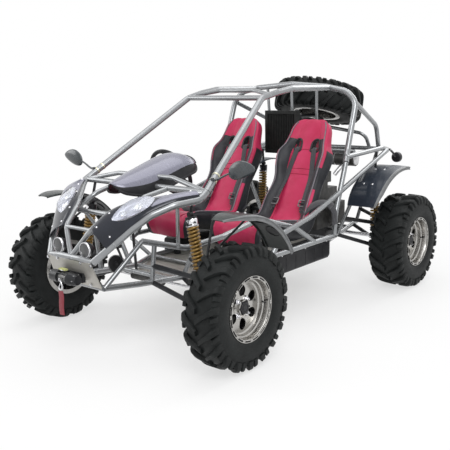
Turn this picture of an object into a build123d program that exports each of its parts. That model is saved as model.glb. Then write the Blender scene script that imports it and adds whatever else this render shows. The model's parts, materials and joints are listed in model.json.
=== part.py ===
from build123d import *
import math
import os

# A two-seat dune buggy, in millimetres. +X is its left side, -Y its front and +Z is up.
# The origin lies on the ground, in the middle of the length and of the width.

# Overall sizes
WHEELBASE = 1850.0
TRACK = 1400.0
CAGE_HEIGHT = 1400.0

# Wheels and tyres
TYRE_RADIUS = 317.5
RIM_SEAT_RADIUS = 152.0
RIM_LIP_RADIUS = 166.0
RIM_WALL = 6.0
FRONT_TYRE_WIDTH = 206.0
REAR_TYRE_WIDTH = 242.0
RIM_WIDTH_SHARE = 0.88
TREAD_WIDTH_SHARE = 0.80
SHOULDER_SHARE = 0.80
LUG_END_SHARE = 0.97
LUG_TIP_SHARE = 0.90
BELLY_SHARE = 0.45
LUG_DEPTH = 15.0
LUGS_A_SIDE = 14
# A lug's corners as shares of the half-width and of half a facet's length
LUG_SHARES = ((0.04, 0.98), (0.45, 0.60), (0.90, 0.30), (1.0, 0.30), (1.0, -0.45), (0.80, -0.45), (0.40, -0.12),
              (0.04, 0.22))
WINDOW_COUNT = 6
WINDOW_RADIUS = 22.0
WINDOW_PLACE = 88.0
DISC_PLACE_SHARE = 0.22
HUB_RADIUS = 46.0
HUB_LENGTH = 52.0
SPINDLE_RADIUS = 15.0
FIT_GAP = 0.3

# Frame tubes
MAIN_TUBE = 38.0
SIDE_TUBE = 32.0
BRACE_TUBE = 26.0
LIGHT_TUBE = 20.0
BEND_DIAMETERS = 3.0
BEND_RUN_SHARE = 0.45

# Steering and front axle
KINGPIN_INSET = 88.0
KNUCKLE_HEIGHT = 132.0
KNUCKLE_DEPTH = 46.0
KNUCKLE_THICKNESS = 34.0
BALL_RADIUS = 22.0
BALL_HEIGHT = 46.0
STEER_ARM_LENGTH = 75.0
STEER_ARM_THICKNESS = 12.0
STEER_EYE_RADIUS = 16.0
STEER_ARM_RISE = 5.0
RACK_BAR_RADIUS = 8.0
RACK_HOUSING_RADIUS = 24.0
RACK_HOUSING_LENGTH = 240.0
TIE_ROD_RADIUS = 7.0
TIE_EYE_HEIGHT = 15.0
ARM_TUBE = 27.0
SHAFT_RADIUS = 13.0

# Dampers
SPRING_RADIUS = 30.0
SPRING_WIRE = 7.0
SPRING_TURNS = 14
DAMPER_RADIUS = 20.0
DAMPER_ROD_RADIUS = 8.0
DAMPER_EYE_RADIUS = 13.0
DAMPER_EYE_WIDTH = 26.0
DAMPER_CAP_LENGTH = 46.0
DAMPER_LOWER_SHARE = 0.36
FRONT_CROSSBAR_SHARE = 0.68
REAR_CROSSBAR_SHARE = 0.65
FRONT_FOOT_SHARE = 0.50
REAR_FOOT_SHARE = 0.36
DAMPER_FOOT_GAP = 1.7

# Steering wheel
GRIP_RADIUS = 165.0
GRIP_THICKNESS = 26.0
GRIP_TILT = 25.0
GRIP_HUB_RADIUS = 42.0
GRIP_HUB_THICKNESS = 24.0
SPOKE_WIDTH = 34.0
SPOKE_THICKNESS = 5.0
SPOKE_TURNS = (0.0, 120.0, 240.0)
GRIP_HUB_SHARES = (-0.400, -0.378, 0.611)
COLUMN_RADIUS = 16.0
COLUMN_LENGTH = 380.0
COLUMN_JOINT_RADIUS = 19.0
RACK_TRAVEL_ROOM = 70.0

# Seats
SEAT_WIDTH = 400.0
SEAT_CENTRE = 280.0
SEAT_LEG_SIZE = 30.0

# Fenders and panels
FENDER_REACH = 455.0
FENDER_WIDTH = 174.0
FENDER_SHIFT = 25.0
FENDER_SKIN = 5.0
FRONT_FENDER_START = -14.0
FRONT_FENDER_END = 63.0
FENDER_STAY_TURNS = (-4.0, 30.0)
STAY_WIDTH = 14.0
STAY_THICKNESS = 6.0
STAY_CORNER_RADIUS = 8.5
STAY_INSET = 28.0
STAY_REACH = 90.0
STAY_FOOT_RISE = 10.0
STAY_FORK_RISE = 230.0
REAR_FENDER_REACH = 462.0
REAR_FENDER_WIDTH = 150.0
REAR_FENDER_INNER_SHARE = 0.760
REAR_FENDER_START = -54.0
REAR_FENDER_END = 12.0
PANEL_SKIN = 14.0
COWL_SKIN = 16.0

# Nose panel rows from front to rear: the spots that its inner and outer edges follow
FAIRING_ROWS = (
    ("guard_top", "nose_low"),
    ("guard_knee", "nose_slope"),
    ("edge_rise", "nose_curve"),
    ("edge_back", "nose_shoulder"),
    ("edge_end", "pillar_knee"),
)
PANEL_CROWN = 10.0
LENS_LENGTH = 190.0
LENS_WIDTH = 74.0

# Cowl sections from front to rear as shares: along, half-width, edge height and crown height
COWL_SHARES = (
    (-1.185, 0.070, 0.606, 0.640),
    (-0.980, 0.165, 0.588, 0.680),
    (-0.700, 0.200, 0.640, 0.725),
    (-0.560, 0.170, 0.660, 0.706),
)

# Seat side view: shares of half the wheelbase and of the cage height
SEAT_SIDE_SHARES = (
    (-0.448, 0.318), (-0.462, 0.400), (-0.420, 0.432), (-0.340, 0.436), (0.040, 0.372), (0.120, 0.400),
    (0.250, 0.570), (0.400, 0.800), (0.430, 0.828), (0.480, 0.832), (0.510, 0.805), (0.330, 0.560),
    (0.230, 0.330), (0.180, 0.300), (-0.400, 0.300),
)
SEAT_LOW_SHARE = 0.300
SEAT_RECESS = 28.0
SEAT_CENTRE_SHARE = 0.54
# Rows of the side view between which the middle panel is set back, and the belt slots' corners as
# shares of half the seat's width and of the cage height
SEAT_PANEL_ROWS = (4, 7)
SLOT_SHARES = ((0.18, 0.718), (0.42, 0.718), (0.36, 0.752), (0.20, 0.752))
# Seat front view: shares of half the seat's width and of the cage height
SEAT_FRONT_SHARES = ((1.0, 0.28), (1.0, 0.44), (0.86, 0.52), (0.90, 0.66), (0.84, 0.70), (0.56, 0.74), (0.50, 0.82),
                     (0.40, 0.85))
SEAT_BELT_TOP_SHARES = (0.372, 0.757)
SEAT_BELT_LOW_SHARES = (0.138, 0.434)
BELT_SPREAD_SHARE = 0.18
SEAT_LEG_ALONG_SHARES = (-0.340, 0.100)
SEAT_LEG_ACROSS_SHARES = (0.170, 0.400)

# Small pieces: shares of half the track, half the wheelbase and the cage height
LAMP_SHARES = (0.149, -1.440, 0.432)
MIRROR_SHARES = (0.960, -0.877, 0.674)
MIRROR_ROOT_SHARES = (0.660, -0.880, 0.652)
TAIL_LAMP_SHARES = (0.643, 1.400, 0.602)
POD_MIDDLE_SHARE = 0.050
POD_LENGTH_SHARE = 0.32
ENGINE_SHIFT = 80.0

# Spare wheel, its underside towards the front
SPARE_TILT = 18.0
SPARE_PLATE_THICKNESS = 10.0
SPARE_PLATE_RADIUS = 60.0
SPARE_POST_LENGTH = 84.0

# Power unit, cooling and exhaust
ENGINE_WIDTH = 440.0
ENGINE_LENGTH = 420.0
ENGINE_HEIGHT = 390.0
# Engine blocks: low and high corners as shares of its width, length and height
ENGINE_SHARES = (
    ((0.10, 0.00, 0.00), (0.90, 0.92, 0.42)),
    ((0.24, 0.10, 0.40), (0.76, 0.58, 0.82)),
    ((0.20, 0.06, 0.80), (0.80, 0.62, 1.00)),
    ((0.16, 0.60, 0.40), (0.70, 1.00, 0.66)),
)
COVER_RISE_SHARE = 0.26
COVER_RADIUS = 84.0
AXLE_BOX_WIDTH = 220.0
AXLE_BOX_LENGTH = 130.0
AXLE_BOX_HEIGHT = 110.0
RADIATOR_WIDTH = 266.0
RADIATOR_HEIGHT = 290.0
RADIATOR_THICKNESS = 34.0
RADIATOR_EDGE = 22.0
RADIATOR_RECESS = 8.0
RADIATOR_FINS = 15
RADIATOR_FIN = 3.0
MUFFLER_RADIUS = 50.0
MUFFLER_LENGTH = 420.0
MUFFLER_SETBACK = 20.0
MUFFLER_DROP = 20.0

# Winch and front plate
SKID_THICKNESS = 5.0
WINCH_RADIUS = 34.0
WINCH_LENGTH = 200.0
WINCH_DRUM_RADIUS = 24.0
STRAP_WIDTH = 38.0
STRAP_THICKNESS = 3.0
STRAP_LENGTH = 125.0
WINCH_END = 62.0
WINCH_STANDOFF = 14.0
WINCH_DROP = 20.0
HOOK_WIDTH = 14.0
HOOK_HEIGHT = 62.0
LAMP_RADIUS = 40.0
LAMP_LENGTH = 50.0
LAMP_FOOT_WIDTH = 22.0
LAMP_FOOT_SEAT = 6.0

# Floor, side boxes and small fittings
FLOOR_THICKNESS = 4.0
POD_WIDTH = 120.0
POD_HEIGHT = 130.0
MIRROR_WIDTH = 110.0
MIRROR_HEIGHT = 78.0
MIRROR_DEPTH = 34.0
MIRROR_TAPER_SHARE = 0.62
MIRROR_ARM_RADIUS = 5.0
TAIL_LAMP_RADIUS = 38.0
TAIL_LAMP_LENGTH = 34.0
TOW_PLATE_THICKNESS = 10.0
TOW_HOLE_RADIUS = 10.0
TOW_HOLE_INSET = 26.0
TOW_PLATE_WIDTH = 90.0
TOW_PLATE_REACH = 194.0
BELT_WIDTH = 46.0
BELT_THICKNESS = 4.0

OVERRUN = 20.0

# The middle of the wheelbase lies this far behind the middle of the length
BASE_SHIFT = 72.5

HALF_TRACK = TRACK / 2
HALF_BASE = WHEELBASE / 2
KINGPIN_X = HALF_TRACK - KINGPIN_INSET
FRONT_AXLE_Y = BASE_SHIFT - HALF_BASE
REAR_AXLE_Y = BASE_SHIFT + HALF_BASE
AXLE_Z = TYRE_RADIUS

# Places on the frame: shares of half the track, half the wheelbase and the cage height
SPOT_SHARES = {
    "pillar_foot": (0.671, -0.941, 0.614),
    "pillar_knee": (0.671, -0.997, 0.590),
    "screen_corner": (0.416, -0.169, 0.936),
    "rail_rise": (0.429, -0.018, 0.956),
    "rail_arch": (0.429, 0.148, 0.971),
    "rail_back": (0.429, 0.625, 0.970),
    "bow_end": (0.423, -0.090, 0.947),
    "bow_arch": (0.200, -0.030, 0.966),
    "hoop_foot": (0.757, 0.443, 0.636),
    "hoop_sleeve": (0.721, 0.508, 0.682),
    "hoop_knee": (0.716, 0.625, 0.906),
    "hoop_shoulder": (0.614, 0.625, 0.954),
    "hoop_arch": (0.400, 0.625, 0.975),
    "hoop_crown": (0.000, 0.625, 0.990),
    "strut_top": (0.290, 0.625, 0.975),
    "strut_foot": (0.270, 0.650, 0.672),
    "middle_top": (0.000, 0.625, 0.985),
    "middle_foot": (0.000, 0.650, 0.672),
    "harness_end": (0.690, 0.650, 0.672),
    "nose_shoulder": (0.600, -1.139, 0.581),
    "nose_curve": (0.500, -1.243, 0.550),
    "nose_slope": (0.414, -1.324, 0.504),
    "nose_low": (0.307, -1.427, 0.436),
    "bumper_end": (0.236, -1.486, 0.393),
    "bumper_middle": (0.110, -1.494, 0.400),
    "guard_apex": (0.000, -1.486, 0.400),
    "guard_top": (0.137, -1.426, 0.496),
    "guard_knee": (0.184, -1.328, 0.548),
    "edge_rise": (0.262, -1.250, 0.574),
    "edge_back": (0.470, -1.092, 0.596),
    "edge_end": (0.590, -0.985, 0.608),
    "hood_front": (0.357, -1.227, 0.529),
    "hood_bend": (0.249, -1.135, 0.589),
    "hood_back": (0.280, -0.950, 0.610),
    "front_hoop_bend": (0.270, -1.250, 0.532),
    "dash_hoop_top": (0.300, -0.910, 0.650),
    "mid_front": (0.300, -1.173, 0.436),
    "mid_low": (0.414, -0.910, 0.386),
    "mid_rise": (0.536, -0.692, 0.411),
    "mid_peak": (0.686, -0.476, 0.468),
    "mid_fall": (0.743, -0.162, 0.401),
    "mid_foot": (0.779, 0.022, 0.318),
    "skid_foot": (0.257, -1.429, 0.294),
    "lower_bend": (0.286, -1.190, 0.276),
    "lower_back": (0.300, -0.800, 0.250),
    "floor_bend": (0.471, -0.540, 0.243),
    "floor_rear": (0.471, 0.620, 0.243),
    "floor_tail": (0.330, 1.190, 0.262),
    "upright_top": (0.607, -1.124, 0.580),
    "upright_foot": (0.428, -0.985, 0.400),
    "side_front": (0.779, -0.454, 0.318),
    "side_knee": (0.786, -0.351, 0.398),
    "side_middle": (0.786, -0.027, 0.437),
    "side_branch": (0.786, 0.218, 0.486),
    "side_corner": (0.714, 1.119, 0.655),
    "sill_front": (0.779, -0.500, 0.300),
    "sill_rear": (0.779, 0.290, 0.318),
    "leg_knee": (0.786, 0.284, 0.429),
    "leg_foot": (0.786, 0.263, 0.324),
    "brace_top": (0.700, 0.640, 0.900),
    "brace_knee": (0.614, 1.081, 0.779),
    "brace_foot": (0.614, 1.124, 0.672),
    "top_rail_front": (0.745, 0.460, 0.660),
    "top_rail_rear": (0.690, 1.080, 0.668),
    "tail_end": (0.643, 1.226, 0.654),
    "carrier_crown": (0.000, 1.177, 0.760),
    "carrier_bend": (0.429, 1.168, 0.731),
    "carrier_foot": (0.429, 1.240, 0.660),
    "tower_front_foot": (0.289, -1.100, 0.270),
    "tower_front_top": (0.332, -1.100, 0.422),
    "tower_rear_foot": (0.298, -0.850, 0.253),
    "tower_rear_top": (0.448, -0.850, 0.393),
    "arm_high_front": (0.307, -1.100, 0.335),
    "arm_high_rear": (0.386, -0.850, 0.335),
    "rear_post_foot": (0.439, 0.750, 0.247),
    "rear_post_top": (0.744, 0.750, 0.586),
    "rear_arm_high_front": (0.518, 0.750, 0.335),
    "rear_arm_high_rear": (0.381, 1.178, 0.335),
    "rear_arm_low_rear": (0.352, 1.100, 0.259),
    "engine_bar": (0.377, 1.000, 0.256),
    "damper_top_front": (0.550, -0.978, 0.530),
    "damper_bracket_front": (0.550, -0.941, 0.614),
    "damper_top_rear": (0.690, 0.973, 0.560),
    "damper_bracket_rear": (0.699, 0.973, 0.667),
    "rack_cross": (0.294, -0.956, 0.260),
    "stay_back": (0.143, 0.650, 0.672),
    "stay_front": (0.143, 0.521, 0.672),
    "spare_hub": (0.000, 1.003, 0.898),
    "spare_strut": (0.000, 0.637, 0.832),
    "tow_root": (0.000, 1.190, 0.262),
}

# Frame tubes: node, layout, diameter, then spots along the tube. A pair has one tube on each
# side, a hoop runs on over the centre line to the other side, and a centre tube is single.
FRAME_TUBES = (
    ("roof_cage", "pair", MAIN_TUBE, ("pillar_foot", "screen_corner", "rail_rise", "rail_arch", "rail_back")),
    ("roof_cage", "hoop", SIDE_TUBE, ("screen_corner",)),
    ("roof_cage", "hoop", BRACE_TUBE, ("bow_end", "bow_arch")),
    ("roof_cage", "hoop", MAIN_TUBE, ("hoop_foot", "hoop_sleeve", "hoop_knee", "hoop_shoulder",
                                      "hoop_arch", "hoop_crown")),
    ("cage_struts", "hoop", SIDE_TUBE, ("harness_end",)),
    ("cage_struts", "pair", LIGHT_TUBE, ("strut_top", "strut_foot")),
    ("cage_struts", "centre", LIGHT_TUBE, ("middle_top", "middle_foot")),
    ("cage_struts", "pair", LIGHT_TUBE, ("stay_back", "stay_front")),
    ("rear_frame", "pair", SIDE_TUBE, ("top_rail_front", "top_rail_rear", "tail_end")),
    ("rear_frame", "pair", SIDE_TUBE, ("brace_top", "brace_knee", "brace_foot")),
    ("rear_frame", "hoop", BRACE_TUBE, ("carrier_foot", "carrier_bend", "carrier_crown")),
    ("rear_frame", "hoop", SIDE_TUBE, ("tail_end",)),
    ("rear_frame", "pair", BRACE_TUBE, ("brace_foot", "floor_tail")),
    ("nose_frame", "pair", MAIN_TUBE, ("pillar_foot", "pillar_knee", "nose_shoulder", "nose_curve",
                                       "nose_slope", "nose_low", "bumper_end")),
    ("nose_frame", "hoop", SIDE_TUBE, ("bumper_end", "bumper_middle")),
    ("nose_frame", "hoop", SIDE_TUBE, ("pillar_foot",)),
    ("hood_frame", "pair", BRACE_TUBE, ("guard_apex", "guard_top", "guard_knee", "edge_rise",
                                        "edge_back", "pillar_foot")),
    ("hood_frame", "hoop", LIGHT_TUBE, ("guard_top",)),
    ("hood_frame", "pair", BRACE_TUBE, ("hood_front", "hood_bend", "hood_back")),
    ("hood_frame", "hoop", BRACE_TUBE, ("nose_curve", "front_hoop_bend")),
    ("hood_frame", "hoop", BRACE_TUBE, ("pillar_foot", "dash_hoop_top")),
    ("lower_frame", "pair", SIDE_TUBE, ("skid_foot", "lower_bend", "lower_back", "floor_bend",
                                        "floor_rear", "floor_tail")),
    ("lower_frame", "hoop", SIDE_TUBE, ("skid_foot",)),
    ("lower_frame", "hoop", BRACE_TUBE, ("rack_cross",)),
    ("lower_frame", "hoop", BRACE_TUBE, ("lower_back",)),
    ("lower_frame", "hoop", BRACE_TUBE, ("floor_bend",)),
    ("lower_frame", "hoop", BRACE_TUBE, ("floor_rear",)),
    ("lower_frame", "hoop", SIDE_TUBE, ("floor_tail",)),
    ("lower_frame", "hoop", BRACE_TUBE, ("engine_bar",)),
    ("side_frame", "pair", BRACE_TUBE, ("tower_front_foot", "tower_front_top")),
    ("side_frame", "pair", BRACE_TUBE, ("tower_rear_foot", "tower_rear_top")),
    ("side_frame", "pair", BRACE_TUBE, ("rear_post_foot", "rear_post_top")),
    ("sill_frame", "pair", BRACE_TUBE, ("floor_bend", "sill_front")),
    ("sill_frame", "pair", BRACE_TUBE, ("floor_rear", "sill_rear")),
    ("side_frame", "pair", SIDE_TUBE, ("mid_front", "mid_low", "mid_rise", "mid_peak", "mid_fall", "mid_foot")),
    ("side_frame", "pair", BRACE_TUBE, ("skid_foot", "mid_front")),
    ("side_frame", "pair", LIGHT_TUBE, ("upright_top", "upright_foot")),
    ("side_frame", "pair", SIDE_TUBE, ("side_front", "side_knee", "side_middle", "side_branch", "side_corner")),
    ("sill_frame", "pair", SIDE_TUBE, ("sill_front", "side_front", "sill_rear")),
    ("side_frame", "pair", SIDE_TUBE, ("hoop_foot", "leg_knee", "leg_foot")),
)


def place(shares, side=1):
    """Point from its shares of half the track, half the wheelbase and the cage height."""
    across, along, up = shares
    return Vector(side * across * HALF_TRACK, BASE_SHIFT + along * HALF_BASE, up * CAGE_HEIGHT)


def spot(name, side=1):
    """Place on the frame, on the left for side 1 and on the right for side -1."""
    return place(SPOT_SHARES[name], side)


def tube(points, diameter):
    """Round bar along straight runs that are joined by arcs."""
    runs = [points[i + 1] - points[i] for i in range(len(points) - 1)]
    if len(points) == 2:
        path = Line(points[0], points[1])
    else:
        radii = []
        for before, after in zip(runs, runs[1:]):
            half_turn = math.radians(before.get_angle(after)) / 2
            room = BEND_RUN_SHARE * min(before.length, after.length) / math.tan(half_turn)
            radii.append(min(BEND_DIAMETERS * diameter, room))
        path = FilletPolyline(*points, radius=radii)
    section = Plane(origin=points[0], z_dir=runs[0]) * Circle(diameter / 2)
    return sweep(section, path=path)


def rod(start, end, radius):
    """Straight round bar from start to end."""
    run = end - start
    return extrude(Plane(origin=start, z_dir=run) * Circle(radius), run.length)


def block(low, high):
    """Box between two corners."""
    size = high - low
    return Pos(*low) * Box(size.X, size.Y, size.Z, align=(Align.MIN, Align.MIN, Align.MIN))


def mirrored(shape):
    """The shape and its mirror image on the other side."""
    return [shape, mirror(shape, about=Plane.YZ)]


def joined(shapes):
    """One body from shapes that overlap."""
    shapes = list(shapes)
    return shapes[0] + shapes[1:] if len(shapes) > 1 else shapes[0]


def tube_run(layout, names):
    """Point lists for one line of the tube table."""
    if layout == "centre":
        return [[spot(name) for name in names]]
    if layout == "pair":
        return [[spot(name, side) for name in names] for side in (1, -1)]
    left = [spot(name) for name in names]
    right = [spot(name, -1) for name in reversed(names) if SPOT_SHARES[name][0] > 0]
    return [left + right]


def frame_nodes():
    """Welded tube groups. Each group is cut to the surface of those before it."""
    order = ("roof_cage", "nose_frame", "cage_struts", "rear_frame", "lower_frame", "side_frame", "sill_frame",
             "hood_frame")
    done = {}
    for node in order:
        tubes = []
        for group, layout, diameter, names in FRAME_TUBES:
            if group == node:
                tubes += [tube(points, diameter) for points in tube_run(layout, names)]
        body = joined(tubes)
        if done:
            body = body - list(done.values())
        done[node] = body
    return done


def ring_profile(points):
    """Solid of revolution about X from (x, radius) points."""
    outline = Polyline(*[(x, 0, radius) for x, radius in points], close=True)
    return revolve(make_face(outline), Axis.X)


def rim(width, seat_width):
    """Alloy rim about X, centred on the origin with its outer face towards +X."""
    half = width / 2
    lip = RIM_LIP_RADIUS
    seat = RIM_SEAT_RADIUS
    inside = seat - RIM_WALL
    edge = half - (half - seat_width / 2) / 2
    disc_x = half * DISC_PLACE_SHARE
    barrel = ring_profile([(-half, lip), (-edge, lip), (-edge, seat), (edge, seat), (edge, lip),
                           (half, lip), (half, inside), (-half, inside)])
    face = ring_profile([(disc_x, inside + RIM_WALL / 2), (disc_x + RIM_WALL * 2, inside + RIM_WALL / 2),
                         (disc_x + HUB_LENGTH / 2, HUB_RADIUS), (disc_x + HUB_LENGTH / 2, SPINDLE_RADIUS + FIT_GAP),
                         (disc_x - HUB_LENGTH / 2, SPINDLE_RADIUS + FIT_GAP), (disc_x - HUB_LENGTH / 2, HUB_RADIUS),
                         (disc_x, HUB_RADIUS)])
    windows = []
    for index in range(WINDOW_COUNT):
        turn = Rot(360.0 / WINDOW_COUNT * index, 0, 0)
        windows.append(turn * Pos(disc_x, 0, WINDOW_PLACE) * Rot(0, 90, 0) * Cylinder(WINDOW_RADIUS, HUB_LENGTH * 2))
    return barrel + (face - windows)


def facet_ring(sections, facets):
    """Solid with flat sides about X, from (x, distance of its flats) sections."""
    half_turn = 180.0 / facets
    faces = [Plane(origin=(x, 0, 0), x_dir=(0, 1, 0), z_dir=(1, 0, 0))
             * RegularPolygon(reach, facets, major_radius=False, rotation=half_turn) for x, reach in sections]
    return loft(faces, ruled=True)


def tyre(width, seat_width):
    """Tyre about X with flat-topped lugs, one on the left or right half of each of its facets."""
    half = width / 2
    facets = LUGS_A_SIDE * 2
    tread = half * TREAD_WIDTH_SHARE
    seat = seat_width / 2 - FIT_GAP
    bore = RIM_SEAT_RADIUS + FIT_GAP
    height = TYRE_RADIUS - RIM_SEAT_RADIUS
    shoulder = RIM_SEAT_RADIUS + height * SHOULDER_SHARE
    belly = RIM_SEAT_RADIUS + height * BELLY_SHARE
    base = TYRE_RADIUS - LUG_DEPTH
    outside = facet_ring([(-half, shoulder), (-tread, base), (tread, base), (half, shoulder)], facets)
    core = facet_ring([(-half, belly), (-seat, bore), (seat, bore), (half, belly)], facets)
    tip = RIM_SEAT_RADIUS + height * LUG_TIP_SHARE
    envelope = facet_ring([(-half, tip), (-tread, TYRE_RADIUS), (tread, TYRE_RADIUS), (half, tip)], facets)
    half_facet = TYRE_RADIUS * math.tan(math.pi / facets)
    lugs = []
    for index in range(facets):
        side = 1 if index % 2 else -1
        corners = [(0, half_facet * along, side * half * LUG_END_SHARE * across) for across, along in LUG_SHARES]
        face = make_face(Polyline(*[(across, along, 0) for zero, along, across in corners], close=True))
        bar = extrude(Pos(0, 0, shoulder) * face, height)
        lugs.append(Rot(360.0 / facets * index, 0, 0) * bar)
    return (outside + [lug & envelope for lug in lugs]) - core


def spare_plane():
    """Plane at the spare wheel's centre with its X axis along the wheel's axle."""
    tilt = math.radians(SPARE_TILT)
    return Plane(origin=spot("spare_hub"), x_dir=(0, math.sin(tilt), math.cos(tilt)), z_dir=(1, 0, 0))


def wheel_nodes(done):
    """Rim and tyre at each corner, and the spare on its carrier."""
    turned = Rot(0, 0, 180)
    corners = (
        ("front_left", Pos(HALF_TRACK, FRONT_AXLE_Y, AXLE_Z), FRONT_TYRE_WIDTH),
        ("front_right", Pos(-HALF_TRACK, FRONT_AXLE_Y, AXLE_Z) * turned, FRONT_TYRE_WIDTH),
        ("rear_left", Pos(HALF_TRACK, REAR_AXLE_Y, AXLE_Z), REAR_TYRE_WIDTH),
        ("rear_right", Pos(-HALF_TRACK, REAR_AXLE_Y, AXLE_Z) * turned, REAR_TYRE_WIDTH),
        ("spare", spare_plane().location, FRONT_TYRE_WIDTH),
    )
    for name, location, width in corners:
        rim_width = width * RIM_WIDTH_SHARE
        seat_width = rim_width - RIM_WALL * 4
        done["rim_" + name] = location * rim(rim_width, seat_width)
        done["tyre_" + name] = location * tyre(width, seat_width)


def spare_carrier(done):
    """Plate and post under the spare wheel, and the bar that carries them."""
    hub_end = FRONT_TYRE_WIDTH * RIM_WIDTH_SHARE / 2 * DISC_PLACE_SHARE - HUB_LENGTH / 2
    top = hub_end - FIT_GAP
    plane = spare_plane()
    axle = plane.x_dir
    centre = spot("spare_hub")
    plate = rod(centre + axle * top, centre + axle * (top - SPARE_PLATE_THICKNESS), SPARE_PLATE_RADIUS)
    foot = centre + axle * (top - SPARE_PLATE_THICKNESS - SPARE_POST_LENGTH)
    post = rod(centre + axle * (top - SPARE_PLATE_THICKNESS / 2), foot, BRACE_TUBE / 2)
    bars = [rod(spot("spare_strut"), foot, BRACE_TUBE / 2), rod(foot, spot("carrier_crown"), BRACE_TUBE / 2)]
    stud = rod(centre + axle * (top - SPARE_PLATE_THICKNESS / 2), centre + axle * (top + HUB_LENGTH), SPINDLE_RADIUS)
    body = joined([plate, post, Pos(*foot) * Sphere(BRACE_TUBE / 2), stud] + bars)
    return body - [done["rear_frame"], done["roof_cage"], done["cage_struts"]]


def low_ball(axle_y):
    """Centre of the lower ball joint's housing on the left."""
    return Vector(KINGPIN_X, axle_y, AXLE_Z - KNUCKLE_HEIGHT / 2 - FIT_GAP - BALL_HEIGHT / 2)


def high_ball(axle_y):
    """Centre of the upper ball joint's housing on the left."""
    return Vector(KINGPIN_X, axle_y, AXLE_Z + KNUCKLE_HEIGHT / 2 + FIT_GAP + BALL_HEIGHT / 2)


def crossbar_ends(axle_y, names, share):
    """Ends of the bar between the legs of the left lower wishbone."""
    return [on_leg(spot(name), low_ball(axle_y), share) for name in names]


def wishbones(axle_y, legs_low, legs_high, share):
    """Lower and upper wishbone of the left side, each with its ball joint's housing."""
    arms = []
    for names, ball in ((legs_low, low_ball(axle_y)), (legs_high, high_ball(axle_y))):
        housing = Pos(*ball) * Cylinder(BALL_RADIUS, BALL_HEIGHT)
        arms.append(joined([housing] + [rod(spot(name), ball, ARM_TUBE / 2) for name in names]))
    arms[0] += rod(*crossbar_ends(axle_y, legs_low, share), ARM_TUBE / 2)
    return arms


def upright(axle_y, arm_length):
    """Left knuckle between its ball joints, with its wheel spindle and any steering arm."""
    body = Pos(KINGPIN_X, axle_y, AXLE_Z) * Box(KNUCKLE_THICKNESS, KNUCKLE_DEPTH, KNUCKLE_HEIGHT)
    spindle_start = Vector(KINGPIN_X, axle_y, AXLE_Z)
    spindle_end = Vector(HALF_TRACK + HUB_LENGTH, axle_y, AXLE_Z)
    parts = [body, rod(spindle_start, spindle_end, SPINDLE_RADIUS)]
    if arm_length:
        eye = Vector(KINGPIN_X, axle_y + arm_length, AXLE_Z + STEER_ARM_RISE - STEER_ARM_THICKNESS / 2)
        bar = Pos(eye.X, axle_y + arm_length / 2, eye.Z) * Box(STEER_EYE_RADIUS, arm_length, STEER_ARM_THICKNESS)
        parts += [bar, Pos(*eye) * Cylinder(STEER_EYE_RADIUS, STEER_ARM_THICKNESS)]
    return joined(parts)


def fender_skin(axle_y, reach, front_turn, rear_turn, inner_x, outer_x):
    """Left fender: a sheet bent about the axle, from one angle from upright to another."""
    def arc_point(radius, turn):
        angle = math.radians(turn)
        return (axle_y + radius * math.sin(angle), AXLE_Z + radius * math.cos(angle))
    middle = (front_turn + rear_turn) / 2
    outside = reach + FENDER_SKIN
    outline = [
        ThreePointArc(arc_point(reach, front_turn), arc_point(reach, middle), arc_point(reach, rear_turn)),
        Line(arc_point(reach, rear_turn), arc_point(outside, rear_turn)),
        ThreePointArc(arc_point(outside, rear_turn), arc_point(outside, middle), arc_point(outside, front_turn)),
        Line(arc_point(outside, front_turn), arc_point(reach, front_turn)),
    ]
    face = Plane(origin=(inner_x, 0, 0), x_dir=(0, 1, 0), z_dir=(1, 0, 0)) * make_face(Wire(outline))
    return extrude(face, outer_x - inner_x)


def flat_bar(start, end, width):
    """Outline of a flat bar between two (along, up) points."""
    run = Vector(*end) - Vector(*start)
    side = Vector(-run.Y, run.X).normalized() * (width / 2)
    corners = [Vector(*start) + side, Vector(*end) + side, Vector(*end) - side, Vector(*start) - side]
    return make_face(Polyline(*corners, close=True))


def front_fender():
    """Left front fender with the forked plate that carries it from the knuckle."""
    inner_x = HALF_TRACK - FENDER_WIDTH / 2 - FENDER_SHIFT
    skin = fender_skin(FRONT_AXLE_Y, FENDER_REACH, FRONT_FENDER_START, FRONT_FENDER_END, inner_x,
                       inner_x + FENDER_WIDTH)
    stay_x = KINGPIN_X - STAY_INSET
    root = (FRONT_AXLE_Y, AXLE_Z + STAY_FOOT_RISE)
    foot = (FRONT_AXLE_Y - STAY_REACH, root[1])
    fork = (foot[0], foot[1] + STAY_FORK_RISE)
    bars = [flat_bar(root, foot, STAY_WIDTH), flat_bar(foot, fork, STAY_WIDTH)]
    for turn in FENDER_STAY_TURNS:
        angle = math.radians(turn)
        reach = FENDER_REACH + OVERRUN
        tip = (FRONT_AXLE_Y + reach * math.sin(angle), AXLE_Z + reach * math.cos(angle))
        bars.append(flat_bar(fork, tip, STAY_WIDTH))
    bars += [Pos(*point) * Circle(STAY_CORNER_RADIUS) for point in (foot, fork)]
    outline = joined(bars) & (Pos(FRONT_AXLE_Y, AXLE_Z) * Circle(FENDER_REACH + FENDER_SKIN / 2))
    plate = extrude(Plane(origin=(stay_x, 0, 0), x_dir=(0, 1, 0), z_dir=(1, 0, 0)) * outline, STAY_THICKNESS)
    boss = Pos(stay_x + STAY_INSET / 2, root[0], root[1]) * Box(STAY_INSET, STAY_WIDTH, STAY_WIDTH)
    return joined([skin, plate, boss])


def rear_fender(frame):
    """Left rear fender beside the long side tube."""
    inner_x = REAR_FENDER_INNER_SHARE * HALF_TRACK
    skin = fender_skin(REAR_AXLE_Y, REAR_FENDER_REACH, REAR_FENDER_START, REAR_FENDER_END, inner_x,
                       inner_x + REAR_FENDER_WIDTH)
    return skin - frame


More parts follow.
